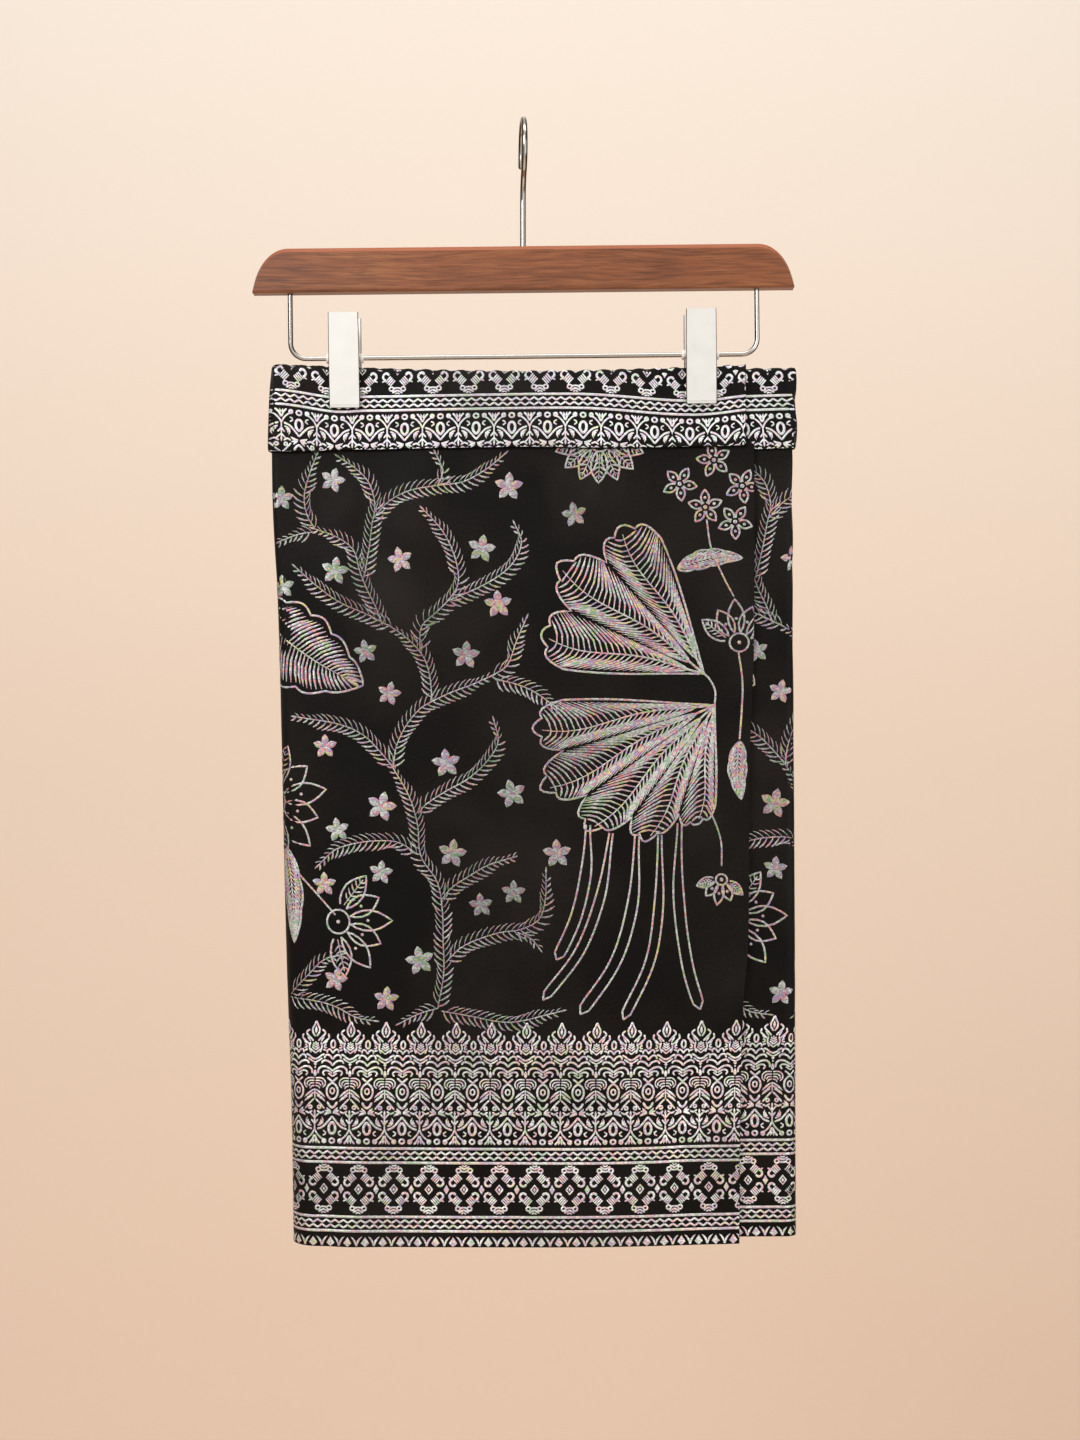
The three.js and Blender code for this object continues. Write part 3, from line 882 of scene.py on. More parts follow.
@dataclass(frozen=True)
class WrapSizes:
    """Sizes of the wound cloth and of its waistband, in millimetres."""

    wall: float = 0.9
    # Points of the outer lap, the back and the inner lap from which the cloth is measured out.
    samples: tuple[int, int, int] = (420, 460, 200)
    pitch_along: float = 3.0
    pitch_down: float = 4.0
    # Length over which the cloth drops to the inner lap's level, before the right fold.
    lap_fade: float = 80.0
    # Width over which the waist sags by half a wave.
    sag_span: float = 250.0
    # Where the creases begin below the waist, and over what height.
    crease_start: float = 20.0
    crease_fade: float = 50.0
    # The strip turned in along the free edge: its width, what it adds, and how soft its step is.
    turn_width: float = 17.6
    turn_lift: float = 0.45
    turn_soft: float = 1.5
    # How the free edge's top is drawn in: reach, shift, depth and softness.
    tuck: tuple[float, float, float, float] = (14.0, 6.0, 50.0, 5.0)
    band_inner: float = 0.9
    band_outer: float = 2.9
    band_start: float = 4.0
    # Rows of the band, as shares of its height, and the share that its rolled top and lower edge take.
    band_rows: tuple = (0.0, 0.012, 0.035, 0.07, 0.14, 0.25, 0.38, 0.52, 0.66, 0.78, 0.88, 0.95, 0.985, 1.0)
    band_roll: float = 0.035
    # Where its two faces start at the top edge, and the gap between them at the lower edge.
    roll_outer: float = -0.6
    roll_inner: float = -0.7
    roll_drop: float = 1.6
    lower_gap: float = 0.3
    # How far its lower half stands off, with waves of height, length and phase, up to the inner lap's start.
    puff: float = 0.9
    puff_wave: float = 0.5
    puff_from: float = 0.5
    puff_span: float = 0.45
    waves: tuple = ((0.5, 21.0, 0.0), (0.35, 8.3, 1.0))
    under_start: float = 700.0
    under_fade: float = 30.0
    scallop_pitch: float = 12.475
    scallop_height: float = 2.0
    scallop_start: float = -0.2
    scallop_power: float = 0.7
    scallop_level: float = 0.45
    scallop_fade: float = 6.0
    # Distance along, and height of the band there.
    band_height: tuple = ((0, 57.0), (110, 55.5), (165, 54.3), (280, 58.5), (337, 61.5), (520, 57), (860, 58))


CREASES = (
    # The outer lap, from its free edge to the left fold.
    Crease(96, 74, 12, 4.5, -1.1, 6),
    Crease(108, 76, 15, 4.0, 0.9, 2),
    Crease(118, 74, 13, 4.5, -1.2, -8),
    Crease(134, 78, 17, 6.0, 0.8, 10),
    Crease(150, 82, 24, 8.0, -0.9, 24),
    Crease(60, 130, 60, 14, 1.3, -18),
    Crease(232, 120, 55, 20, 1.8, 34),
    Crease(262, 150, 42, 13, -1.3, 22),
    Crease(288, 112, 38, 11, 1.1, -12),
    Crease(302, 168, 44, 13, 1.0, 16),
    Crease(34, 250, 90, 18, -0.9, 4),
    Crease(180, 330, 130, 30, 1.2, -6),
    Crease(40, 510, 26, 7.0, -1.4, 30),
    Crease(30, 540, 22, 6.0, 1.1, 24),
    Crease(46, 560, 24, 8.0, -1.0, -20),
    Crease(250, 480, 90, 24, 1.0, 8),
    # The back.
    Crease(420, 86, 30, 9.0, -1.0, 14),
    Crease(470, 130, 70, 18, 1.4, -16),
    Crease(540, 84, 22, 7.0, 0.9, 5),
    Crease(556, 84, 20, 6.0, -1.0, -4),
    Crease(600, 210, 100, 22, -1.2, 10),
    Crease(500, 360, 120, 28, 1.3, 6),
    Crease(640, 470, 80, 20, 1.0, -12),
    # The inner lap.
    Crease(716, 110, 40, 9.0, 0.6, 6),
    Crease(722, 330, 80, 10, -0.6, -3),
)


def wound_cloth(plan: WrapPlan, sizes: WrapSizes) -> Cloth:
    """Winds the cloth by its plan, so that equal steps along it are equal lengths of cloth.

    Args:
        plan: The plan of the wrap.
        sizes: Sizes of the cloth.

    Returns:
        The sheet through the middle of the cloth's wall.
    """
    rows = int(plan.length / sizes.pitch_down) + 1
    down = np.linspace(0, plan.length, rows)
    u = [np.linspace(0, 1, n)[:, None] for n in sizes.samples]
    stretches = [shape(share, down) for shape, share in zip((plan.outer_lap, plan.back, plan.inner_lap), u)]
    x, y = (np.concatenate([stretches[0][k], stretches[1][k][1:], stretches[2][k][1:]]) for k in (0, 1))
    step = np.hypot(np.diff(x, axis=0), np.diff(y, axis=0))
    length = np.concatenate([np.zeros((1, rows)), np.cumsum(step, axis=0)])
    right_fold = length[len(u[0]) + len(u[1]) - 2]
    total = float(length[-1].min())
    along = np.linspace(0, total, int(total / sizes.pitch_along) + 1)
    plan_x = np.stack([np.interp(along, length[:, k], x[:, k]) for k in range(rows)], axis=1)
    plan_y = np.stack([np.interp(along, length[:, k], y[:, k]) for k in range(rows)], axis=1)
    inner = smooth((along[:, None] - right_fold + sizes.lap_fade) / sizes.lap_fade)
    lowered = plan.under_drop * inner + down * (1 - plan.under_short / plan.length * inner)
    sag = plan.waist_sag * (1 - down / plan.length)
    z = plan.waist_z - lowered - sag * np.cos(math.pi * plan_x / sizes.sag_span)
    sheet = Cloth(along, down, np.stack([plan_x, plan_y, z], axis=-1))
    grid_along, grid_down = np.meshgrid(along, down, indexing="ij")
    height = np.sum([crease.height(grid_along, grid_down) for crease in CREASES], axis=0)
    height = height * smooth((grid_down - sizes.crease_start) / sizes.crease_fade)
    height += sizes.turn_lift * plateau(
        grid_along, sizes.turn_width - sizes.turn_soft, sizes.turn_width + sizes.turn_soft
    )
    return Cloth(along, down, sheet.points + sheet.normals * height[..., None])


def waistband(wrap: Cloth, sizes: WrapSizes) -> tuple[Cloth, Cloth]:
    """The turned-out band, as the sheet of its outer face and that of its inner face.

    Args:
        wrap: The wound cloth.
        sizes: Sizes of the band.

    Returns:
        Two sheets over (along, distance below the band's top), both from the top edge to the band's lower edge.
    """
    along = wrap.along[wrap.along >= sizes.band_start]
    share = np.array(sizes.band_rows)
    height = curve_through(sizes.band_height, along)
    wave = sum(high * np.sin(along / length + phase) for high, length, phase in sizes.waves)
    under = smooth((along - sizes.under_start) / sizes.under_fade)
    down = share[None, :] * height[:, None]
    # The top edge and the lower edge are each a quarter of a circle.
    turned = np.sqrt(np.clip(1 - (1 - np.clip(share / sizes.band_roll, 0, 1)) ** 2, 0, 1))
    lip = np.sqrt(np.clip(1 - (np.clip((share - 1 + sizes.band_roll) / sizes.band_roll, 0, 1)) ** 2, 0, 1))
    swell = (sizes.puff + sizes.puff_wave * wave) * (1 - under)
    puff = smooth((share - sizes.puff_from) / sizes.puff_span)[None, :] * swell[:, None]
    out = mix(sizes.roll_outer, sizes.band_outer, turned)[None, :] + puff
    out = mix(sizes.band_inner + sizes.lower_gap, out, lip[None, :])
    grid_along = np.broadcast_to(along[:, None], down.shape)
    arch = np.abs(np.sin(math.pi * (along - sizes.scallop_start) / sizes.scallop_pitch)) ** sizes.scallop_power
    lift = (sizes.scallop_height * (arch - sizes.scallop_level))[:, None] * plateau(down, 0.0, sizes.scallop_fade)
    outer = wrap.at(grid_along, np.maximum(down, 0), out) + lift[..., None] * np.array([0, 0, 1])
    inner_out = np.where(share < share[1], sizes.roll_inner, sizes.band_inner)
    inner = wrap.at(grid_along, np.maximum(down, sizes.roll_drop), np.broadcast_to(inner_out[None, :], down.shape))
    nominal = share * float(np.mean(height))
    return Cloth(along, nominal, outer), Cloth(along, nominal, inner)


class Figure:
    """Strips of thread drawn flat, in millimetres: x to the viewer's right, y up.

    Each batch is an array (strips, points, 3) of x, y and half the strip's width along its centre line.
    """

    def __init__(self, batches: Sequence[Array] = ()) -> None:
        """Starts a figure from batches of strips."""
        self.batches = list(batches)

    def __add__(self, other: "Figure") -> "Figure":
        """Both figures together."""
        return Figure(self.batches + other.batches)

    def placed(self, x: float = 0.0, y: float = 0.0, turn: float = 0.0, flip: bool = False) -> "Figure":
        """A copy of the figure, moved.

        Args:
            x: Shift to the right.
            y: Shift up.
            turn: Degrees anticlockwise, before the shift.
            flip: Whether left and right change places first.

        Returns:
            The moved figure.
        """
        c, s = math.cos(math.radians(turn)), math.sin(math.radians(turn))
        moved = []
        for batch in self.batches:
            across = -batch[..., 0] if flip else batch[..., 0]
            px = x + c * across - s * batch[..., 1]
            py = y + s * across + c * batch[..., 1]
            moved.append(np.stack([px, py, batch[..., 2]], axis=-1))
        return Figure(moved)

    def both_sides(self) -> "Figure":
        """The figure and its mirror image about x = 0."""
        return self + self.placed(flip=True)

    def repeated(self, xs: Sequence[float], y: float = 0.0) -> "Figure":
        """Copies of the figure side by side.

        Args:
            xs: Where each copy's origin goes.
            y: Shift up.

        Returns:
            All of the copies.
        """
        shift = np.zeros((len(xs), 1, 1, 3))
        shift[:, 0, 0, 0] = xs
        shift[:, 0, 0, 1] = y
        return Figure([(batch[None] + shift).reshape(-1, *batch.shape[1:]) for batch in self.batches])


def strips(x: ArrayLike, y: ArrayLike, half: ArrayLike) -> Figure:
    """Strips through points given by x, y and half width, each (points) or (strips, points)."""
    return Figure([np.stack(np.broadcast_arrays(np.atleast_2d(x), y, half), axis=-1)])


def smoothed(points: Sequence[tuple[float, float]], steps: int) -> Array:
    """A smooth curve through points.

    Args:
        points: The points.
        steps: Pieces between each two of them.

    Returns:
        Points of the Catmull-Rom curve, (n, 2).
    """
    p = np.array(points, dtype=float)
    if steps <= 1 or len(p) < 3:
        return p
    padded = np.concatenate([[2 * p[0] - p[1]], p, [2 * p[-1] - p[-2]]])
    t = np.linspace(0, 1, steps, endpoint=False)[:, None]
    spans = []
    for a, b, c, d in zip(padded, padded[1:], padded[2:], padded[3:]):
        spans.append(0.5 * (2 * b + (c - a) * t + (2 * a - 5 * b + 4 * c - d) * t**2 + (3 * b - a - 3 * c + d) * t**3))
    return np.concatenate([*spans, p[-1:]])


def stroke(*points: tuple[float, float], width: float = 1.1, steps: int = 1, tip: float = 0.6) -> Figure:
    """A line of thread with closed ends.

    Args:
        points: Points of its centre line.
        width: Its width.
        steps: Pieces between each two points, more than 1 for a curve.
        tip: Length of each end's narrowing.

    Returns:
        The line.
    """
    line = smoothed(points, steps)
    first = line[0] - line[1]
    last = line[-1] - line[-2]
    ends = [line[0] + tip * first / np.linalg.norm(first), line[-1] + tip * last / np.linalg.norm(last)]
    line = np.concatenate([ends[:1], line, ends[1:]])
    half = np.full(len(line), width / 2)
    half[[0, -1]] = 0
    return strips(*line.T, half)


def leaf(x0: float, y0: float, x1: float, y1: float, width: float, bow: float = 0.0, blunt: float = 0.0) -> Figure:
    """A filled pointed leaf.

    Args:
        x0: Base.
        y0: Base.
        x1: Tip.
        y1: Tip.
        width: Its greatest width.
        bow: How far its middle bends to the left of the way from base to tip.
        blunt: Share of the width that its base keeps.

    Returns:
        The leaf.
    """
    share = np.array([0.0, 0.18, 0.45, 0.75, 1.0])
    fullness = np.array([blunt, 0.75, 1.0, 0.7, 0.0])
    arc = 4 * bow * share * (1 - share)
    length = math.hypot(x1 - x0, y1 - y0)
    nx, ny = -(y1 - y0) / length, (x1 - x0) / length
    x = mix(x0, x1, share) + nx * arc
    y = mix(y0, y1, share) + ny * arc
    return strips(x, y, fullness * width / 2)


def lozenge(x: float, y: float, wide: float, high: float, level: float = 0.0) -> Figure:
    """A filled diamond about x, y, with half its width and height, widest at a level above its centre."""
    return strips(float(x), [y - high, y + level, y + high], [0.0, wide, 0.0])


def ring(x: float, y: float, wide: float, high: float, width: float, corners: int = 12, above: float = 1.0,
         below: float = 1.0) -> Figure:
    """A closed loop of thread.

    Args:
        x: Centre.
        y: Centre.
        wide: Half the loop's width, to the thread's middle.
        high: Half its height.
        width: The thread's width.
        corners: Number of its points.
        above: 1 for a round top, and more for a pointed one.
        below: The same for its foot.

    Returns:
        The loop.
    """
    angle = np.linspace(0, TURN, corners + 1)
    cosine = np.cos(angle)
    px = x + wide * np.sign(cosine) * np.abs(cosine) ** np.where(np.sin(angle) > 0, above, below)
    return strips(px, y + high * np.sin(angle), width / 2)


def curl(x: float, y: float, radius: float, start: float, end: float, width: float, shrink: float = 1.0) -> Figure:
    """A hooked arc of thread.

    Args:
        x: Centre.
        y: Centre.
        radius: Radius where it starts.
        start: Degrees, anticlockwise from the right.
        end: Degrees.
        width: The thread's width.
        shrink: Its radius at the end as a share of that at the start.

    Returns:
        The arc.
    """
    count = max(4, int(abs(end - start) / 28))
    angle = np.radians(np.linspace(start, end, count))
    reach = np.linspace(radius, radius * shrink, count)
    points = np.column_stack([x + reach * np.cos(angle), y + reach * np.sin(angle)])
    return stroke(*map(tuple, points), width=width)


@dataclass(frozen=True)
class Border:
    """The charted border, over one period, as heights above the hem."""

    period: float = 24.95
    lower_lines: tuple[float, float] = (11.0, 20.8)
    upper_lines: tuple[float, float] = (58.2, 68.0)
    line_half: float = 1.0
    zigzag_half: float = 0.78
    # How far a zigzag's turns stay from the lines' middles, and how near the middle the two zigzags come.
    zigzag_gap: float = 2.3
    zigzag_cross: float = 0.7
    oval_shift: float = 7.2
    oval_middle: float = 39.8
    lift: float = 0.8
    # Curved lines at one side of a crown's axis: width, pieces between two points, and points.
    crown_strokes: tuple = (
        (1.45, 2, ((2.0, 141.2), (4.4, 143.8), (6.4, 145.7), (6.4, 147.3), (4.8, 148.6))),
        (1.45, 2, ((5.2, 139.2), (7.8, 141.6), (9.4, 143.2), (9.0, 145.6))),
        (1.4, 2, ((3.9, 139.6), (4.5, 136.6), (3.3, 133.4))),
        (1.55, 2, ((0.2, 128.4), (2.5, 129.3), (4.2, 130.8), (6.1, 131.7))),
        (1.2, 2, ((0.2, 126.2), (2.4, 127.2), (4.7, 128.8))),
        (1.1, 2, ((0.9, 115.3), (4.6, 115.3), (7.1, 113.4), (7.3, 110.7), (5.8, 109.0))),
        (1.1, 2, ((0.8, 113.5), (3.8, 113.4), (5.4, 112.1), (5.5, 110.6))),
        (1.1, 2, ((0.8, 111.8), (3.1, 111.5), (4.1, 110.0))),
        (1.1, 2, ((0.7, 110.0), (2.5, 109.5), (3.3, 108.3))),
        (1.4, 2, ((0.9, 100.6), (3.6, 98.0), (6.6, 94.4))),
        (1.4, 3, ((0.2, 79.8), (1.6, 77.0), (4.2, 74.2), (6.2, 73.0))),
        (1.4, 2, ((0.2, 154.4), (1.2, 151.9), (2.5, 149.4), (2.2, 146.6), (0.7, 144.4))),
    )
    # The same for the axis between two crowns.
    bud_strokes: tuple = (
        (1.4, 2, ((0.1, 132.8), (1.3, 134.5), (2.6, 135.2), (3.8, 134.7), (4.1, 133.2))),
        (1.55, 2, ((0.1, 128.4), (1.5, 130.3), (3.3, 131.4), (5.2, 131.0), (5.9, 129.2))),
        (1.6, 2, ((0.1, 124.2), (2.0, 126.3), (4.6, 127.4), (6.8, 127.2), (7.8, 125.8))),
        (1.6, 2, ((0.2, 120.4), (2.6, 122.2), (5.4, 123.3), (8.2, 123.0), (10.1, 121.2), (10.4, 118.8))),
        (1.4, 2, ((0.7, 118.7), (2.9, 120.2), (5.6, 120.4), (7.0, 119.0), (6.0, 117.4))),
        (1.6, 3, ((0.1, 88.7), (3.9, 84.2), (6.7, 81.6), (10.2, 80.2))),
    )

    def strokes(self, rows: Sequence[tuple]) -> Figure:
        """Curved lines from rows of width, pieces between two points, and points."""
        return sum((stroke(*points, width=width, steps=steps) for width, steps, points in rows), Figure())

    def lozenges(self) -> Figure:
        """The row along the hem.

        Returns:
            Two diamonds, with curved leaves that meet in a V between them.
        """
        side = leaf(6.0, 0.8, 2.1, 7.4, 1.7, -0.9, 0.6)
        unit = lozenge(0, 3.5, 3.5, 3.4, -0.8) + side.both_sides()
        return unit.repeated((0.0, self.period / 2))

    def chain(self, low: float, high: float) -> Figure:
        """A band of interlaced zigzags between two solid lines.

        Args:
            low: Middle of the lower line.
            high: Middle of the upper line.

        Returns:
            The band.
        """
        quarter = self.period / 4
        middle = (low + high) / 2
        reach = (high - low) / 2 - self.zigzag_gap
        bit = self.period / 8
        line = strips([0.0, bit / 2, bit], 0.0, self.line_half)
        starts = np.arange(8) * bit - self.period / 2
        figure = line.repeated(starts, low) + line.repeated(starts, high)
        xs = np.linspace(0, quarter, 7)
        swing = np.abs(xs / quarter - 0.5) * 2
        for side in (-1, 1):
            level = middle + side * (reach - (reach - self.zigzag_cross) * swing)
            figure += strips(xs, level, self.zigzag_half).repeated(np.arange(4) * quarter - self.period / 2)
        return figure

    def block(self) -> Figure:
        """A striped block, upright at the origin."""
        return sum((stroke((x, -2.5), (x, 2.5), width=1.15, tip=0.35) for x in (-2.1, -0.7, 0.7, 2.1)), Figure())

    def oval(self) -> Figure:
        """An oval wreath of four hooked blocks and two caps round a diamond.

        Returns:
            The wreath, about the origin.
        """
        quarter = self.block().placed(5.0, 7.8, -42) + curl(7.9, 4.6, 2.4, 75, -150, 1.9, 0.9)
        quarter += stroke((8.8, 7.4), (10.5, 8.2), width=1.2, tip=0.5)
        quarter += ring(4.1, 13.2, 1.6, 1.4, 1.4, 10) + leaf(0.0, 12.4, 2.9, 12.9, 1.6, 0, 0.9)
        quarter += stroke((0.1, 14.2), (1.6, 14.9), (3.2, 15.8), width=1.5) + leaf(0.0, 15.9, 1.9, 16.9, 1.3, 0, 0.8)
        lower = Figure([batch * np.array([1, -1, 1]) for batch in quarter.batches])
        return (quarter + lower).both_sides() + ring(0, 0, 2.5, 3.1, 1.4, 4) + lozenge(0, 0, 1.1, 1.4)

    def ovals(self) -> Figure:
        """The row of wreaths: a wreath, and the small diamond beside it."""
        x = self.oval_shift
        return self.oval().placed(x, self.oval_middle) + lozenge(x - self.period / 2, self.oval_middle, 2.3, 3.3)

    def crown_axis(self) -> Figure:
        """What stands on the axis of a crown.

        Returns:
            Strips about x of 0, in heights above the hem.
        """
        half = self.strokes(self.crown_strokes)
        half += leaf(3.7, 140.6, 6.2, 144.2, 1.4, 0.0, 0.6) + leaf(6.6, 138.9, 8.6, 141.6, 1.3, 0.0, 0.6)
        half += curl(7.2, 137.2, 1.0, 80, 300, 1.3) + leaf(5.5, 135.0, 8.0, 134.0, 1.6, 0.2, 0.6)
        for tip, reach, rise in ((138.3, 1.8, 1.2), (136.6, 2.1, 1.5), (134.8, 2.5, 1.9), (132.6, 3.4, 2.7)):
            half += stroke((0.1, tip), (reach, tip + rise), width=1.15, tip=0.3)
        half += leaf(0.7, 107.4, 7.6, 101.8, 1.8, 0.3, 0.5) + leaf(0.6, 105.4, 4.4, 101.8, 1.5, 0.2, 0.5)
        half += leaf(1.6, 103.2, 7.6, 98.9, 2.1, 0.5, 0.6)
        half += ring(3.2, 95.2, 1.1, 1.1, 1.4, 10) + stroke((2.0, 92.5), (4.2, 91.1), (6.4, 92.0), width=1.5, steps=2)
        half += leaf(11.8, 91.4, 6.4, 89.4, 2.2, -0.6, 0.5) + leaf(11.6, 92.0, 8.4, 95.2, 2.0, 0.3, 0.5)
        half += leaf(11.0, 92.0, 6.9, 93.2, 1.7, 0.1, 0.6)
        half += stroke((0.1, 88.0), (2.7, 90.7), width=1.3) + stroke((0.2, 84.0), (2.1, 86.4), width=1.3)
        half += ring(6.8, 71.9, 0.98, 0.98, 1.95, 10)
        half += stroke((0.3, 75.6), (1.6, 72.6), (3.5, 70.5), width=1.6, steps=2) + leaf(0.3, 73.2, 1.3, 70.0, 1.4)
        bud = leaf(0, 146.0, 0, 151.4, 2.0) + lozenge(0, 139.9, 0.9, 0.8)
        stem = lozenge(0, 125.0, 1.5, 1.4) + lozenge(0, 122.8, 0.8, 0.9) + leaf(0, 116.4, 0, 121.2, 2.8, 0, 0.2)
        stem += stroke((0, 101.4), (0, 107.6), width=1.1) + stroke((0, 79.4), (0, 91.0), width=1.2)
        return half.both_sides() + bud + stem + leaf(0, 89.6, 0, 93.6, 1.7) + lozenge(0, 84.3, 1.4, 1.4)

    def bud_axis(self) -> Figure:
        """What stands between two crowns.

        Returns:
            Strips about x of 0, in heights above the hem.
        """
        half = self.strokes(self.bud_strokes)
        half += stroke((0.1, 116.6), (2.8, 118.4), width=1.2) + stroke((0.3, 113.0), (3.3, 115.5), width=1.6)
        half += stroke((0.0, 94.9), (1.8, 96.0), (3.2, 98.3), width=1.9, steps=2, tip=1.0)
        half += leaf(10.2, 82.5, 7.4, 88.8, 2.0, 2.2, 0.6) + leaf(9.4, 84.0, 8.0, 87.2, 1.4, 0.8, 0.5)
        half += stroke((6.0, 78.8), (4.5, 77.8), (4.9, 76.5), (6.2, 75.9), width=1.2)
        medallion = ring(0, 106.3, 4.1, 5.7, 1.6, 16, 1.3, 1.1) + ring(0, 106.5, 1.6, 2.0, 1.4, 8)
        drop = ring(0, 80.9, 2.4, 4.0, 2.1, 14, 1.7, 0.8)
        bud = ring(0, 138.9, 1.55, 2.8, 1.5, 10, 1.3, 1.0)
        return half.both_sides() + medallion + drop + bud + ring(0, 72.1, 1.85, 1.6, 1.6, 8)

    def narrow(self) -> Figure:
        """One period of all that lies below the flower cells, centred on a crown's axis."""
        low, high = self.lower_lines, self.upper_lines
        return self.lozenges() + self.chain(*low) + self.chain(*high) + self.ovals()

    def flowers(self) -> Figure:
        """One period of the flower cells, centred on a crown's axis."""
        return (self.crown_axis() + self.bud_axis().placed(self.period / 2)).placed(0, self.lift)


@dataclass(frozen=True)
class Field:
    """The field above the border: vines, stars and flowers, with x right of the field's middle and y up."""

    stem_width: float = 0.8
    leaflet_pitch: float = 4.3
    leaflet_length: float = 8.6
    leaflet_width: float = 1.25
    thin_width: float = 0.75
    leaflet_angle: float = 41.0
    # Length at a vine's tip over which its leaflets shorten, and that of its last leaflet.
    tip_fade: float = 24.0
    tip_length: float = 5.0
    # Half the width of the thread that outlines a broad leaf, a petal and a blade.
    leaf_half: float = 0.7
    petal_half: float = 0.65
    blade_half: float = 0.6
    # Pitch of the filaments along a broad leaf's rib, and along a fan's.
    palm_pitch: float = 2.9
    fan_pitch: float = 4.1
    # Course of each vine from root to tip: x right of the field's middle, y down from the waist.
    vines: tuple = (
        ((-59, 446), (-56, 424), (-57, 402), (-57, 378), (-60, 358), (-71, 340), (-73, 318), (-79, 298), (-90, 279)),
        ((-90, 279), (-88, 264), (-82, 250), (-73, 238), (-64, 232), (-50, 225), (-37, 220), (-24, 214)),
        ((-24, 214), (-12, 206), (-6, 190), (1, 174)),
        ((-20, 216), (-6, 219), (8, 225), (26, 238)),
        ((-64, 232), (-66, 214), (-71, 200), (-82, 188), (-92, 181)),
        ((-92, 181), (-110, 172), (-129, 164), (-145, 153), (-159, 141)),
        ((-99, 179), (-104, 166), (-110, 154), (-115, 141), (-119, 127), (-131, 118), (-146, 113)),
        ((-112, 146), (-108, 124), (-106, 108), (-104, 95), (-108, 80), (-117, 70), (-129, 62)),
        ((-105, 104), (-94, 92), (-79, 84), (-60, 80), (-42, 77), (-26, 68), (-14, 58)),
        ((-60, 80), (-56, 70), (-61, 58)),
        ((-146, 113), (-152, 103), (-154, 89), (-150, 73), (-146, 62)),
        ((-147, 115), (-158, 117), (-170, 122)),
        ((-73, 196), (-72, 180), (-62, 170), (-53, 161), (-46, 150), (-46, 138), (-50, 124), (-57, 111), (-69, 98)),
        ((-53, 161), (-39, 155), (-25, 148), (-12, 139), (-4, 129), (-1, 118), (-5, 108)),
        ((-72, 310), (-67, 304), (-52, 294), (-38, 286), (-25, 274), (-17, 260), (-20, 246)),
        ((-73, 339), (-86, 331), (-100, 330), (-116, 332), (-131, 337), (-142, 347)),
        ((-57, 370), (-50, 362), (-38, 354), (-24, 346), (-8, 341)),
        ((-54, 413), (-45, 404), (-33, 398), (-17, 393), (-3, 391), (10, 384), (15, 370), (16, 352)),
        ((-5, 393), (4, 397), (9, 403)),
        ((-90, 279), (-99, 268), (-112, 256), (-130, 249), (-158, 245)),
        ((-59, 446), (-72, 450), (-84, 456)),
        ((-56, 448), (-38, 451), (-17, 455), (-3, 455), (18, 450), (26, 448)),
        ((-163, 438), (-152, 426), (-141, 414), (-129, 410)),
        ((-163, 440), (-145, 442), (-130, 446), (-116, 453), (-104, 455)),
    )
    # Places of the stars in the same way, and their radii.
    stars: tuple = (
        (-134, 78, 8.6), (-132, 142, 9.6), (-170, 92, 8.5), (-169, 154, 8.0), (-86, 133, 8.8), (-29, 124, 9.6),
        (-10, 80, 9.8), (-18, 163, 9.6), (-111, 198, 8.2), (-94, 227, 8.2), (-41, 199, 9.6), (-138, 265, 8.2),
        (-129, 323, 8.2), (-98, 306, 10.2), (-99, 352, 8.2), (-139, 361, 8.2), (-53, 275, 9.8), (-7, 296, 9.8),
        (-49, 338, 9.8), (-7, 365, 8.2), (-30, 374, 8.2), (-73, 413, 9.8), (-131, 427, 8.2), (-95, 440, 8.6),
        (24, 338, 9.8), (36, 100, 8.6),
    )

    def vine(self, points: Sequence[tuple[float, float]]) -> Figure:
        """A stem with curved leaflets on both sides.

        Args:
            points: Its course from root to tip, x right and y up.

        Returns:
            The vine.
        """
        course = smoothed(points, 12)
        step = np.hypot(*np.diff(course, axis=0).T)
        at = np.r_[0, np.cumsum(step)]
        total = at[-1]
        stem_at = np.linspace(0, total, max(4, int(total / 4)))
        stem = np.column_stack([np.interp(stem_at, at, course[:, k]) for k in (0, 1)])
        figure = stroke(*map(tuple, stem), width=self.stem_width)
        places = np.arange(1.0, total - 1.0, self.leaflet_pitch)
        here = np.column_stack([np.interp(places, at, course[:, k]) for k in (0, 1)])
        ahead = np.column_stack([np.interp(places + 1.0, at, course[:, k]) for k in (0, 1)])
        heading = np.arctan2(*(ahead - here).T[::-1])
        size = self.leaflet_length * np.clip((total - places) / self.tip_fade, 0.5, 1.0)
        size = size * (1 + 0.1 * np.sin(places * 7.3))
        share = np.array([0.0, 0.3, 0.65, 1.0])
        fullness = np.array([0.4, 0.8, 1.05, 0.4]) / 2
        for side in (-1, 1):
            shift = 0.5 * self.leaflet_pitch * (side > 0)
            base = here + shift * np.column_stack([np.cos(heading), np.sin(heading)])
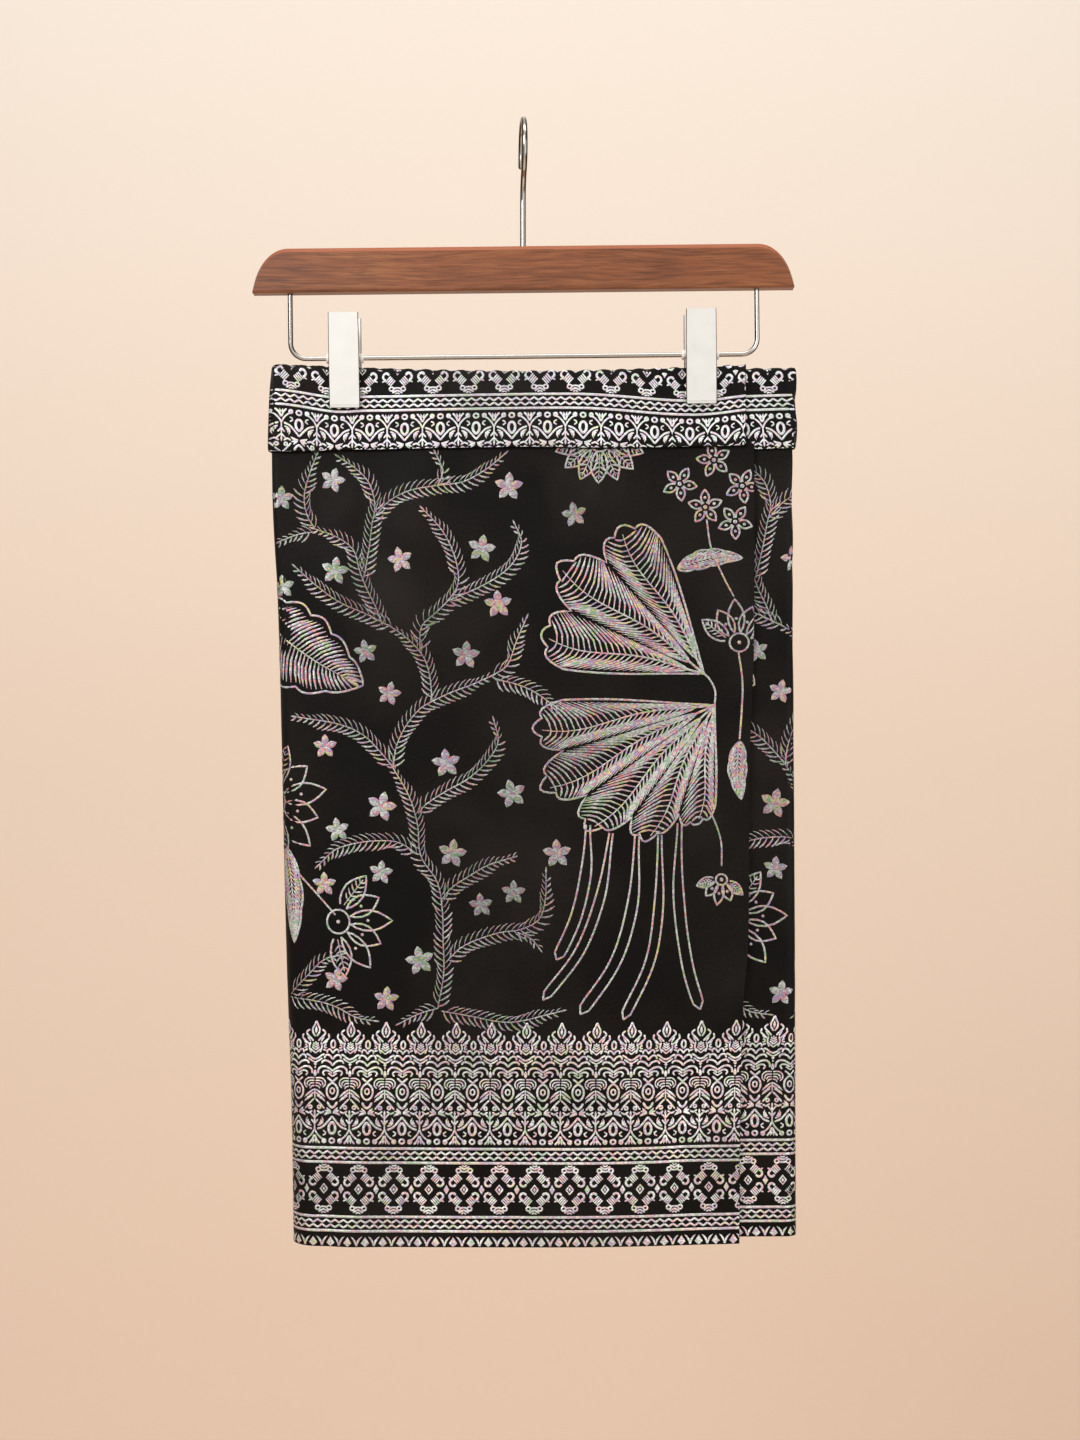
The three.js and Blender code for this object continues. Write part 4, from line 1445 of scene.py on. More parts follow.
            # The leaflets on the side that faces down are broad and stand out more.
            under = side * np.cos(heading) < 0.0
            width = np.where(under, self.leaflet_width, self.thin_width)[:, None]
            open_angle = math.radians(self.leaflet_angle) * np.where(under, 1.15, 0.85)
            lean = heading + side * open_angle * (1 + 0.08 * np.sin(places * 3.1 + side))
            bend = side * 0.09 * size
            x = base[:, :1] + np.cos(lean)[:, None] * size[:, None] * share
            y = base[:, 1:] + np.sin(lean)[:, None] * size[:, None] * share
            bow = bend[:, None] * 4 * share * (1 - share)
            x = x - np.sin(lean)[:, None] * bow
            y = y + np.cos(lean)[:, None] * bow
            figure += strips(x, y, fullness * width)
        tip = course[-1]
        turn = course[-1] - course[-4]
        turn = turn / np.linalg.norm(turn)
        return figure + leaf(*tip, *(tip + self.tip_length * turn), self.leaflet_width)

    def star(self, size: float) -> Figure:
        """A filled five-petalled star flower.

        Args:
            size: Its radius.

        Returns:
            The flower about the origin.
        """
        figure = Figure()
        share = np.array([0.0, 0.28, 0.52, 0.74, 0.9, 1.06])
        half = np.array([0.05, 0.22, 0.30, 0.26, 0.15, 0.0]) * size
        for petal in range(5):
            angle = math.radians(90 + 72 * petal)
            figure += strips(share * size * math.cos(angle), share * size * math.sin(angle), half)
        return figure

    def palm(self, length: float, width: float, lobes: int, bow: float = 0.0) -> Figure:
        """A broad leaf with a gently scalloped outline and curved filaments.

        Args:
            length: From its base to its tip.
            width: Its full width.
            lobes: Scallops on each side.
            bow: How far its middle bends to the left.

        Returns:
            The leaf, from the origin upwards.
        """
        def spine(t: Array) -> Array:
            """Points along the leaf's middle."""
            return np.column_stack([-4 * bow * t * (1 - t), length * t])

        def reach(t: Array) -> Array:
            """Half the leaf's width along it."""
            scallop = 0.86 + 0.14 * np.abs(np.sin(math.pi * lobes * t))
            return width / 2 * np.sin(math.pi * t**0.8) ** 0.75 * scallop

        t = np.linspace(0, 1, 10 * lobes + 1)
        sides = [spine(t) + np.column_stack([side * reach(t), np.zeros_like(t)]) for side in (-1, 1)]
        loop = np.concatenate([sides[0], sides[1][::-1][1:]])
        figure = strips(*loop.T, self.leaf_half)
        figure += strips(*spine(np.linspace(0.0, 0.94, 14)).T, np.linspace(0.8, 0.2, 14))
        places = np.arange(0.04, 0.92, self.palm_pitch / length)
        share = np.array([0.0, 0.35, 0.7, 1.0])
        for side in (-1, 1):
            base = spine(places)
            far = np.clip(places + 0.05 + 7.0 / length, 0, 0.985)
            end = spine(far) + np.column_stack([side * reach(far) * 0.84, np.zeros_like(far)])
            x = base[:, :1] + (end - base)[:, :1] * share**0.85
            y = base[:, 1:] + (end - base)[:, 1:] * share**1.35
            figure += strips(x, y, [0.3, 0.72, 0.85, 0.2])
        return figure

    def fan(self, lengths: Sequence[float], spread: float) -> Figure:
        """A broad fan leaf, its ribs and curved filaments within one scalloped outline.

        Args:
            lengths: Length of each rib, from the left.
            spread: Degrees between its outer edges.

        Returns:
            The leaf, opening upwards from the origin.
        """
        edge = math.radians(spread) / 2
        sector = 2 * edge / len(lengths)
        middles = sector * (0.5 + np.arange(len(lengths))) - edge

        def polar(angle: Array, radius: Array, half: ArrayLike) -> Figure:
            """Strips through points given by angle and radius."""
            return strips(radius * np.sin(angle), radius * np.cos(angle), half)

        def rim(angle: Array) -> Array:
            """The scalloped outline.

            Args:
                angle: Angles from upright.

            Returns:
                Its radius there.
            """
            place = (angle - middles[0]) / sector
            off = 2 * np.abs((place + 0.5) % 1.0 - 0.5)
            lobes = 0.96 + 0.04 * np.abs(np.cos(1.5 * math.pi * off))
            return np.interp(angle, middles, lengths) * (1 - 0.13 * off**2) * lobes

        t = np.linspace(0.03, 1, 12)
        bulge = edge + 0.03 * np.sin(math.pi * t)
        ends = rim(np.array([-edge, edge]))
        around = np.linspace(-edge, edge, 18 * len(lengths) + 1)
        sides = np.array([[-1], [1]])
        figure = polar(sides * bulge, ends[:, None] * t, self.leaf_half) + polar(around, rim(around), self.leaf_half)
        share = np.array([0.0, 0.3, 0.65, 1.0])
        for middle, length in zip(middles, lengths):
            rib = np.linspace(0.0, 0.95, 16)
            sway = middle + 0.05 * np.sin(2 * math.pi * rib)
            figure += polar(sway, length * rib, np.linspace(0.8, 0.3, 16))
            places = np.arange(0.1, 0.93, self.fan_pitch / length)
            sways = middle + 0.05 * np.sin(2 * math.pi * places)
            for side in (-1, 1):
                wide = 0.96 * np.sqrt(1 - (places / 0.94) ** 7)
                target = middle + side * sector / 2 * wide
                far = np.minimum(length * (places + 0.14 + 0.12 * places), 0.985 * rim(target))
                angle = sways[:, None] + (target - sways)[:, None] * share**0.7
                radius = (length * places)[:, None] + (far - length * places)[:, None] * share**1.5
                figure += polar(angle, radius, [0.3, 0.62, 0.72, 0.15])
        return figure

    def petal(self, length: float, width: float, ribs: bool = False) -> Figure:
        """An outlined pointed petal.

        Args:
            length: From base to tip.
            width: Its full width.
            ribs: Whether it has filaments, in place of a round dot.

        Returns:
            The petal, from the origin upwards.
        """
        t = np.array([0.0, 0.12, 0.3, 0.5, 0.68, 0.82, 0.93, 1.0])
        reach = width / 2 * np.array([0.35, 0.7, 0.95, 1.0, 0.8, 0.5, 0.2, 0.0])
        loop = np.column_stack([np.r_[-reach, reach[::-1][1:]], length * np.r_[t, t[::-1][1:]]])
        figure = strips(*loop.T, self.petal_half)
        if ribs:
            for share in (0.2, 0.34, 0.48, 0.62, 0.76):
                x = width * 0.36 * (1 - abs(share - 0.4))
                rib = leaf(0.2, length * share, x, length * (share + 0.14), 1.1, -0.4, 0.5)
                figure += rib.both_sides()
            return figure + stroke((0, 1.5), (0, length * 0.85), width=0.8)
        return figure + ring(0, length * 0.42, 0.55, 0.55, 1.1, 8)

    def lotus(self, size: float, petals: int, spread: float, ribbed: bool = False) -> Figure:
        """An open flower seen from the side, with a ribbed sepal at each side.

        Args:
            size: Length of its petals.
            petals: How many.
            spread: Degrees between its outermost petals.
            ribbed: Whether every petal has filaments.

        Returns:
            The flower, opening upwards from the origin.
        """
        figure = Figure()
        for number in range(petals):
            angle = spread * (number / (petals - 1) - 0.5)
            outer = ribbed or number in (0, petals - 1)
            length = size * (0.95 if outer else 1.0 - 0.12 * (number % 2))
            start = 0.30 * size
            x, y = start * math.sin(math.radians(angle)), start * math.cos(math.radians(angle))
            figure += self.petal(length - start, size * 0.34, outer).placed(x, y, -angle)
        figure += ring(0, size * 0.1, size * 0.2, size * 0.19, 1.3, 16)
        return figure + ring(0, size * 0.1, 0.7, 0.7, 1.3, 8)

    def blossom(self, size: float) -> Figure:
        """A small outlined five-petalled flower.

        Args:
            size: Its radius.

        Returns:
            The flower about the origin.
        """
        figure = ring(0, 0, 0.9, 0.9, 1.2, 8)
        petal = self.petal(size * 0.8, size * 0.48).placed(0, 0.22 * size)
        for number in range(5):
            figure += petal.placed(turn=72 * number)
        return figure

    def blade(self, points: Sequence[tuple[float, float]], width: float) -> Figure:
        """A long blade of grass in outline.

        Args:
            points: Its course from base to tip.
            width: Its greatest width.

        Returns:
            Its two edges.
        """
        course = smoothed(points, 8)
        direction = np.gradient(course, axis=0)
        direction /= np.linalg.norm(direction, axis=1, keepdims=True)
        share = np.linspace(0, 1, len(course))
        reach = width / 2 * (0.4 + 0.6 * smooth(share / 0.4)) * smooth((1 - share) / 0.05)
        away = np.column_stack([-direction[:, 1], direction[:, 0]]) * reach[:, None]
        x, y = np.stack([course - away, course + away]).transpose(2, 0, 1)
        return strips(x, y, self.blade_half)

    def bouquet(self) -> Figure:
        """The large spray at the right of the field, of fan leaves, flowers and grasses.

        Returns:
            The spray.
        """
        figure = self.fan((118, 130, 120), 70).placed(126, -214, 52)
        figure += self.fan((84, 106, 124, 134, 128), 94).placed(134, -236, 134)
        figure += self.lotus(34, 6, 120).placed(150, -196, -8)
        figure += self.lotus(34, 9, 190, True).placed(54, -46, 178)
        figure += self.lotus(20, 5, 120).placed(139, -356, 168)
        for x, y in ((110, -80), (134, -64), (154, -83), (128, -97), (149, -108)):
            figure += self.blossom(12.0).placed(x, y, x * 1.7)
        figure += self.palm(46, 13, 4, 4).placed(108, -140, -82) + self.palm(40, 13, 3, -2).placed(152, -262, 182)
        blades = (
            ((46, -318), (44, -350), (36, -382), (22, -412)), ((62, -324), (54, -366), (38, -406), (14, -440)),
            ((80, -326), (76, -372), (62, -416), (40, -450)), ((96, -326), (94, -374), (86, -418), (70, -454)),
            ((110, -318), (108, -366), (112, -410), (124, -448)),
        )
        for number, points in enumerate(blades):
            figure += self.blade(points, 7.5 - 1.0 * (number % 2))
        for width, steps, *stem in (
            (1.2, 5, (126, -214), (130, -218), (134, -226), (134, -236)),
            (1.2, 6, (150, -200), (153, -220), (153, -240), (152, -260)),
            (1.1, 6, (147, -160), (140, -146), (132, -126), (129, -106)),
            (1.1, 6, (129, -306), (135, -318), (139, -332), (139, -348)),
        ):
            figure += stroke(*stem, width=width, steps=steps)
        return figure

    def left_spray(self) -> Figure:
        """The flower, leaf and small lotus that come round from the left fold.

        Returns:
            The spray.
        """
        figure = self.palm(96, 58, 5, -6).placed(-192, -168, -124)
        figure += self.lotus(44, 6, 140).placed(-180, -304, -92)
        figure += self.lotus(42, 6, 128).placed(-134, -386, -102)
        figure += self.palm(66, 15, 3, 2).placed(-166, -336, -176)
        return figure + stroke((-166, -336), (-158, -352), (-146, -366), (-132, -382), width=1.2, steps=5)

    def vine_figure(self) -> Figure:
        """The first half of a tile.

        Returns:
            The vines, and the stars between them.
        """
        figure = sum((self.vine([(x, -y) for x, y in course]) for course in self.vines), Figure())
        for number, (x, y, size) in enumerate(self.stars):
            figure += self.star(size).placed(x, -y, (number * 37) % 30 - 15)
        return figure

    def spray_figure(self) -> Figure:
        """The other half of a tile: its flowers and leaves."""
        return self.bouquet() + self.left_spray()


def thread_object(
    name: str, figure: Figure, cloth: Cloth, to_cloth: Callable, out: float,
    limits: tuple[float, float, float, float], fullness: float = 1.0,
) -> Piece:
    """Lays a figure's strips on the cloth.

    Args:
        name: The object's name.
        figure: The figure.
        cloth: The sheet that it lies on.
        to_cloth: Turns the figure's x and y into along and down.
        out: Distance of the strips' edges from the sheet.
        limits: Least and greatest along, and least and greatest down; strips are cut off there.
        fullness: Factor of the strips' width.

    Returns:
        The object. Each strip is a low ridge, three points wide.
    """
    points, quads, flat, tones = [], [], [], []
    start = 0
    for batch in figure.batches:
        direction = np.gradient(batch[..., :2], axis=1)
        direction /= np.maximum(np.linalg.norm(direction, axis=-1, keepdims=True), 1e-9)
        half = batch[..., 2] * fullness
        side = np.stack([-direction[..., 1], direction[..., 0]], axis=-1) * half[..., None]
        middle = batch[..., :2]
        across = np.stack([middle - side, middle, middle + side], axis=2)
        along, down = to_cloth(across[..., 0], across[..., 1])
        inside = (along > limits[0]) & (along < limits[1]) & (down > limits[2]) & (down < limits[3])
        keep = inside[:, :, 1].any(axis=1)
        along = np.clip(along[keep], limits[0], limits[1])
        down = np.clip(down[keep], limits[2], limits[3])
        half = half[keep]
        if not len(along):
            continue
        crown = np.minimum(RIDGE[2], RIDGE[0] + RIDGE[1] * half)
        height = np.stack([np.zeros_like(half), crown * (half > 0), np.zeros_like(half)], axis=2) + out
        count, size = half.shape
        points.append(cloth.at(along, down, height).reshape(-1, 3))
        flat.append(np.stack([along, down], axis=-1).reshape(-1, 2))
        # Each strip takes the tone of the patch that its middle lies in.
        x, y = along[:, size // 2, 1], down[:, size // 2, 1]
        cell = np.floor(x / TONE_PATCH[0] + TONE_PATCH[2] * np.sin(y / TONE_PATCH[3])) * SCATTER[0]
        cell = cell + np.floor(y / TONE_PATCH[1]) * SCATTER[1]
        tones.append(np.repeat(np.modf(np.abs(np.sin(cell)) * SCATTER[2])[0], size * 3))
        one = grid_quads(size, 3)
        quads.append((one[None] + start + (np.arange(count) * size * 3)[:, None, None]).reshape(-1, 4))
        start += count * size * 3
    place = np.concatenate(points)
    faces = np.concatenate(quads)
    one, two, three, four = (place[faces[:, k]] for k in range(4))
    area = np.linalg.norm(np.cross(three - one, four - two), axis=1) / 2
    faces = faces[area > LEAST_FACE]
    used, numbers = np.unique(faces, return_inverse=True)
    return mesh_object(
        name, place[used] * MM, numbers.reshape(faces.shape), np.concatenate(flat)[used] * MM,
        np.concatenate(tones)[used],
    )


@dataclass(frozen=True)
class Garment:
    """The pre-tied wrap: cloth, waistband and thread figures."""

    plan: WrapPlan = WrapPlan()
    sizes: WrapSizes = WrapSizes()
    # A crown of the waistband stands this far along from the free edge.
    band_start: float = 8.0
    field_top: float = 40.0
    field_drop: float = 1.5
    # Least and greatest along of each tile, the place of its figure's middle, and whether left and right change places.
    field_tiles: tuple = ((0, 348, 158, False), (348, 460, 518, True), (460, 808, 618, False), (808, 900, 978, True))
    # Distance down, and how far the weave has run off square there.
    field_lean: tuple = ((60, 4.4), (120, 4.5), (250, 1.7), (350, 0.3), (440, -3.4), (530, -5.7))
    hem_start: float = 4.4
    hem_stretch: float = 0.979
    # What the border takes above the hem, and the least distance down that its threads may reach.
    border_height: float = 150.0
    border_top: float = 60.0
    # How far the threads stay inside the first edge, the last edge and the hem.
    margins: tuple[float, float, float] = (0.3, 0.5, 0.2)
    # The same for the top and the foot of the waistband.
    band_margins: tuple[float, float] = (0.6, 0.8)
    # Factors of the threads' width on the border and on the waistband.
    border_fullness: float = 0.85
    band_fullness: float = 0.82
    # Distance along, and the chart's height at the waistband's top edge.
    band_chart: tuple = (
        (0, 37.0), (42, 34.5), (130, 41.6), (272, 38.0), (294, 36.5), (335, 40.5), (700, 39.0), (820, 40),
    )

    def build(self, ground: Finish, vine: Finish, spray: Finish, border: Finish, band_thread: Finish) -> None:
        """Makes and dresses the garment.

        Args:
            ground: Finish of the cloth.
            vine: Thread of the vines.
            spray: Thread of the field's flowers and broad leaves.
            border: Thread of the border.
            band_thread: Thread of the waistband, paler as a painted highlight.
        """
        wrap = wound_cloth(self.plan, self.sizes)
        half = self.sizes.wall / 2
        sheet = wrap.tucked(*self.sizes.tuck)
        cloth = closed_sheet(
            "wrap_cloth", sheet, sheet.points + sheet.normals * half, sheet.points - sheet.normals * half
        )
        finish_piece(cloth, ground, "brocade", "over_panel", "back_panel", "under_panel")
        outer, inner = waistband(wrap, self.sizes)
        band = closed_sheet("waistband", outer, outer.points, inner.points)
        finish_piece(band, ground, "brocade_band", "over_band", "back_band", "under_band")
        pieces = [
            *self.border_threads(wrap, half, border),
            *self.field_threads(wrap, half, "vines", Field().vine_figure(), vine),
            *self.field_threads(wrap, half, "sprays", Field().spray_figure(), spray),
            self.band_threads(outer, band_thread),
        ]

    def copies(self, cloth: Cloth) -> Array:
        """The x of each copy of the border's period along a sheet, from 0 to the viewer's left."""
        count = int(cloth.along[-1] / Border.period) + 2
        return -Border.period * np.arange(-1, count)

    def border_threads(self, wrap: Cloth, out: float, thread: Finish) -> list[Piece]:
        """Lays the border above the hem.

        Args:
            wrap: The hanging cloth.
            out: Height of its outer face.
            thread: Finish.

        Returns:
            The pieces.
        """
        border = Border()
        end = float(wrap.along[-1])
        first, last, foot = self.margins
        limits = (first, end - last, self.border_top, self.plan.length - foot)
        made = []
        for name, unit in (("border_bands", border.narrow()), ("border_flowers", border.flowers())):
            figure = unit.repeated(self.copies(wrap))
            piece = thread_object(
                name, figure, wrap, lambda x, y: (self.hem_start - x * self.hem_stretch, self.plan.length - y), out,
                limits, self.border_fullness,
            )
            made.append(finish_piece(piece, thread, "brocade"))
        return made

    def field_threads(
        self, wrap: Cloth, out: float, name: str, figure: Figure, thread: Finish
    ) -> list[Piece]:
        """Lays a figure of the field above the border, in tiles round the cloth.

        Args:
            wrap: The hanging cloth.
            out: Height of its outer face.
            name: First part of the pieces' names.
            figure: The figure.
            thread: Finish.

        Returns:
            The pieces.
        """
        end = float(wrap.along[-1])
        first, last, _ = self.margins
        foot = self.plan.length - self.border_height
        made = []
        for number, (low, high, middle, flip) in enumerate(self.field_tiles):
            def to_cloth(x: Array, y: Array, middle: float = middle) -> tuple[Array, Array]:
                """Cloth coordinates of the figure's points."""
                return middle - x + curve_through(self.field_lean, -y), self.field_drop - y

            piece = thread_object(
                f"{name}_{number + 1}", figure.placed(flip=flip), wrap, to_cloth, out,
                (max(first, low), min(end - last, high), self.field_top, foot),
            )
            made.append(finish_piece(piece, thread, "brocade"))
        return made

    def band_threads(self, outer: Cloth, thread: Finish) -> Piece:
        """Lays the border, head down, on the waistband.

        Args:
            outer: The band's outer face.
            thread: Finish.

        Returns:
            The piece.
        """
        border = Border()
        mean = float(outer.down[-1])

        def to_cloth(x: Array, y: Array) -> tuple[Array, Array]:
            """Cloth coordinates of the figure's points.

            Args:
                x: The figure's x.
                y: The figure's height above the hem.

            Returns:
                Distance along, and distance below the band's top edge.
            """
            along = self.band_start - x
            below = y - curve_through(self.band_chart, along)
            return along, below * mean / curve_through(self.sizes.band_height, along)

        figure = (border.narrow() + border.flowers()).repeated(self.copies(outer))
        first, last, _ = self.margins
        top, foot = self.band_margins
        limits = (float(outer.along[0]) + first, float(outer.along[-1]) - last, top, mean - foot)
        piece = thread_object("waistband_threads", figure, outer, to_cloth, 0.0, limits, self.band_fullness)
        return finish_piece(piece, thread, "brocade_band")


# ---- the hanger


def rounded(width: float, depth: float, radius: float, steps: int = 4) -> Array:
    """A rectangle with round corners.

    Args:
        width: Size along the first axis.
        depth: Size along the second.
        radius: Of the corners.
        steps: Pieces of each corner.

    Returns:
        Points anticlockwise, (4 * (steps + 1), 2).
    """
    a = np.linspace(0, math.pi / 2, steps + 1)
    corners = []
    for turn, sx, sy in ((0, 1, 1), (1, -1, 1), (2, -1, -1), (3, 1, -1)):
        angle = a + turn * math.pi / 2
        x = sx * (width / 2 - radius) + radius * np.cos(angle)
        y = sy * (depth / 2 - radius) + radius * np.sin(angle)
        corners.append(np.column_stack([x, y]))
    return np.concatenate(corners)


def tube(path: Array, normal: Vector, radius: Array | float, sides: int = 20) -> Array:
    """Rings of a round rod whose path lies in one plane.

    Args:
        path: Points in millimetres, (n, 3).
        normal: The plane's normal.
        radius: One radius, or one for each point.
        sides: Points of a ring.

    Returns:
        Rings, (n, sides, 3), that turn anticlockwise about the path's direction.
    """
    along = np.gradient(path, axis=0)
    along /= np.linalg.norm(along, axis=1, keepdims=True)
    first = np.broadcast_to(np.array(normal, dtype=float), path.shape)
    second = np.cross(along, first)
    angle = np.linspace(0, TURN, sides, endpoint=False)
    reach = np.broadcast_to(radius, (len(path),))[:, None, None]
    ring_points = first[:, None] * np.cos(angle)[None, :, None] + second[:, None] * np.sin(angle)[None, :, None]
    return path[:, None] + ring_points * reach


def domed(path: Array, radius: float) -> tuple[Array, Array]:
    """A rod's path with a dome at its first end.

    Args:
        path: Points in millimetres.
        radius: Of the rod.

    Returns:
        The longer path, and the radius at each of its points.
    """
    angle = np.radians([8, 30, 52, 74])
    direction = (path[0] - path[1]) / np.linalg.norm(path[0] - path[1])
    dome = path[0] + direction * (radius * np.cos(angle))[:, None]
    return np.concatenate([dome, path]), np.r_[radius * np.sin(angle), np.full(len(path), radius)]


class Side(Enum):
    """A side of the hanger, as the sign of its y."""

    FRONT = -1
    BACK = 1


@dataclass(frozen=True)
class Hanger:
    """The wooden clip hanger: shaped wood, wire hook, wire bar, two clips and their spools."""

    length: float = 380.0
    height: float = 31.0
    thick: float = 13.0
    top: float = -87.5
    end_wide: float = 25.3
    end_high: float = 36.6
    # Rows of points round each end of the wood, and along its middle.
    end_rows: int = 14
    middle_rows: int = 24
    least_high: float = 0.6
    # The round of the wood's lower edges, and the bevel of its upper ones: size, greatest share of the height there,
    # and depth as a share of the bevel's height.
    edge_round: float = 1.6
    round_share: float = 0.4
    chamfer: float = 2.8
    chamfer_share: float = 0.45
    chamfer_slope: float = 0.75
    tilt: float = 0.6
    hook_wire: float = 4.0
    hook_inside: float = 19.0
    hook_sweep: float = 22.0
    hook_turn: float = 4.0
    hook_tip: float = 8.0
    hook_flare: float = 0.6
    hook_seat: float = 16.0
    # Points round the hook's loop, its reverse bend and each corner of the bar.
    loop_points: int = 60
    bend_points: int = 16
    corner_points: int = 12
    bar_wire: float = 3.5
    bar_reach: float = 164.2
    bar_z: float = -164.2
    bar_corner: float = 11.0
    bar_seat: float = 12.0
    clip_width: float = 21.5
    clip_top: float = -134.0
    clip_foot: float = -199.6
    clip_jaw: float = 12.0
    clip_sheet: float = 1.5
    clip_lean: float = 13.0
    clip_heel: float = 3.0
    # Heights above the foot of a fine groove's edges, and its depth.
    groove: tuple[float, ...] = (0.9, 1.1, 1.6, 1.8)
    groove_depth: float = 0.5
    # Shares of a plate's height at which the rest of its rings lie.
    plate_levels: tuple[float, ...] = (0.33, 0.67, 1.0)
    plate_round: float = 0.5
    # How much narrower the jaw pad is than the plate, its round, and how far pad and boss reach into the plate.
    pad_inset: float = 1.6
    pad_round: float = 0.4
    rooted: float = 0.4
    # The boss that bears on the spool: half its height, its share of the width, its round and its crown.
    boss_half: float = 3.2
    boss_share: float = 0.6
    boss_round: float = 0.3
    boss_crown: float = 0.5
    clips: tuple = (("left", -126.0, 4.0), ("right", 124.0, 5.9))
    spool_radius: float = 3.5
    spool_length: float = 26.0
    spool_gap: float = 0.15
    # The spool's collar, as distances from its end and radii.
    collar: tuple = ((0.0, 3.2), (0.3, 3.5), (1.9, 3.5), (2.2, 3.0))
    gap: float = 0.3
    # Least angle of an edge that shows on the wood and the clip plates, in degrees.
    crisp: float = 12.0

    def tilted(self, points: Array) -> Array:
        """Dips points to the left about the top of the wood's middle.

        Args:
            points: In millimetres, (..., 3).

        Returns:
            The turned points in metres.
        """
        c, s = math.cos(math.radians(self.tilt)), math.sin(math.radians(self.tilt))
        x, z = points[..., 0], points[..., 2] - self.top
        return np.stack([x * c - z * s, points[..., 1], x * s + z * c + self.top], axis=-1) * MM

    def wood(self) -> Piece:
        """The wood.

        Returns:
            A long block with sweeping ends and a bevel along its top edges.
        """
        bottom = self.top - self.height
        centre_z = self.top - self.end_high
        first = math.asin((bottom - centre_z) / self.end_high)
        angle = np.linspace(first, math.pi / 2, self.end_rows)
        end_x = self.length / 2 - self.end_wide * math.cos(first) + self.end_wide * np.cos(angle)
        end_z = centre_z + self.end_high * np.sin(angle)
        straight = np.linspace(-end_x[-1], end_x[-1], self.middle_rows + 2)[1:-1]
        xs = np.r_[-end_x, straight, end_x[::-1]]
        high = np.maximum(np.r_[end_z, np.full(len(straight), self.top), end_z[::-1]] - bottom, self.least_high)
        bevel = np.minimum(self.chamfer, high * self.chamfer_share)
        low = np.minimum(self.edge_round, high * self.round_share)
        bend = low * (1 - math.sqrt(0.5))
        none = np.zeros_like(high)
        # The ring runs down the front, under the wood, up the back and over the top.
        front = np.stack([bevel * self.chamfer_slope, none, none, bend, low], axis=1) - self.thick / 2
        level = bottom + np.stack([high, high - bevel, low, bend, none], axis=1)
        y = np.concatenate([front, -front[:, ::-1]], axis=1)
        z = np.concatenate([level, level[:, ::-1]], axis=1)
        rings = np.stack([np.broadcast_to(xs[:, None], y.shape), y, z], axis=-1)
        return loft("hanger_wood_shaped", self.tilted(rings), sharp=self.crisp)

    def hook(self) -> Piece:
        """The hook.

        Returns:
            A wire down the back, over, down the front and by a reverse bend into the shank.
        """
        r = self.hook_inside + self.hook_wire / 2
        centre = -self.hook_inside
        out = math.pi + math.acos(self.hook_sweep / (r + self.hook_sweep))
        bend_z = centre + (r + self.hook_sweep) * math.sin(out)
        loop = np.linspace(0, out, self.loop_points)
        bend = np.linspace(out - math.pi, 0, self.bend_points)[1:]
        y = np.r_[r + self.hook_flare, r * np.cos(loop), -self.hook_sweep + self.hook_sweep * np.cos(bend), 0]
        z = np.r_[centre - self.hook_tip + self.hook_wire / 2, centre + r * np.sin(loop),
                  bend_z + self.hook_sweep * np.sin(bend), self.top - self.hook_seat]
        path, size = domed(np.column_stack([np.zeros_like(y), y, z]), self.hook_wire / 2)
        rings = tube(path, Vector((1, 0, 0)), size)
        c, s = math.cos(math.radians(self.hook_turn)), math.sin(math.radians(self.hook_turn))
        turned = np.stack([rings[..., 0] * c - rings[..., 1] * s, rings[..., 0] * s + rings[..., 1] * c,
                           rings[..., 2]], axis=-1)
        return loft("hanger_hook_wire", turned * MM)

    def bar(self) -> Piece:
        """The bar.

        Returns:
            A wire with both ends let into the wood.
        """
        top = self.top - self.height + self.bar_seat
        turn = np.linspace(0, math.pi / 2, self.corner_points)
        x = self.bar_reach - self.bar_corner + self.bar_corner * np.cos(turn)
        z = self.bar_z + self.bar_corner - self.bar_corner * np.sin(turn)
        xs = np.r_[-self.bar_reach, -x, x[::-1], self.bar_reach]
        zs = np.r_[top, z, z[::-1], top]
        path = np.column_stack([xs, np.zeros_like(xs), zs])
        return loft("hanger_bar_wire", self.tilted(tube(path, Vector((0, 1, 0)), self.bar_wire / 2)))

    def clip_section(self, side: Side, stack: float) -> list[Array]:
        """The parts of a clip's plate, as rings across its width.

        Args:
            side: Which plate.
            stack: Half the thickness of the cloth in the jaws.

        Returns:
            Rings of the plate, its jaw pad and its boss.
        """
        sign = side.value
        face = stack + self.gap
        tall = self.clip_top - self.clip_foot

        def outer(z: Array) -> Array:
            """Distance of the plate's outer face from the middle, at a height."""
            return mix(face + self.clip_heel, self.clip_lean, (z - self.clip_foot) / tall)

        z = self.clip_foot + np.array([0.0, *self.groove, *(share * tall for share in self.plate_levels)])
        y = outer(z) - self.clip_sheet / 2 - self.groove_depth * np.array([0, 0, 1, 1, 0, 0, 0, 0])
        slope = math.atan2(float(y[-1] - y[0]), tall)
        section = rounded(self.clip_width, self.clip_sheet, self.plate_round, 3)
        shrink = np.array([0.98, 1, 1, 1, 1, 1, 1, 0.98])[:, None]
        across, deep = section[:, 0] * shrink, section[:, 1] * shrink
        plate = np.stack([
            across, sign * (y[:, None] + deep * math.cos(slope)), z[:, None] - deep * math.sin(slope),
        ], axis=-1)

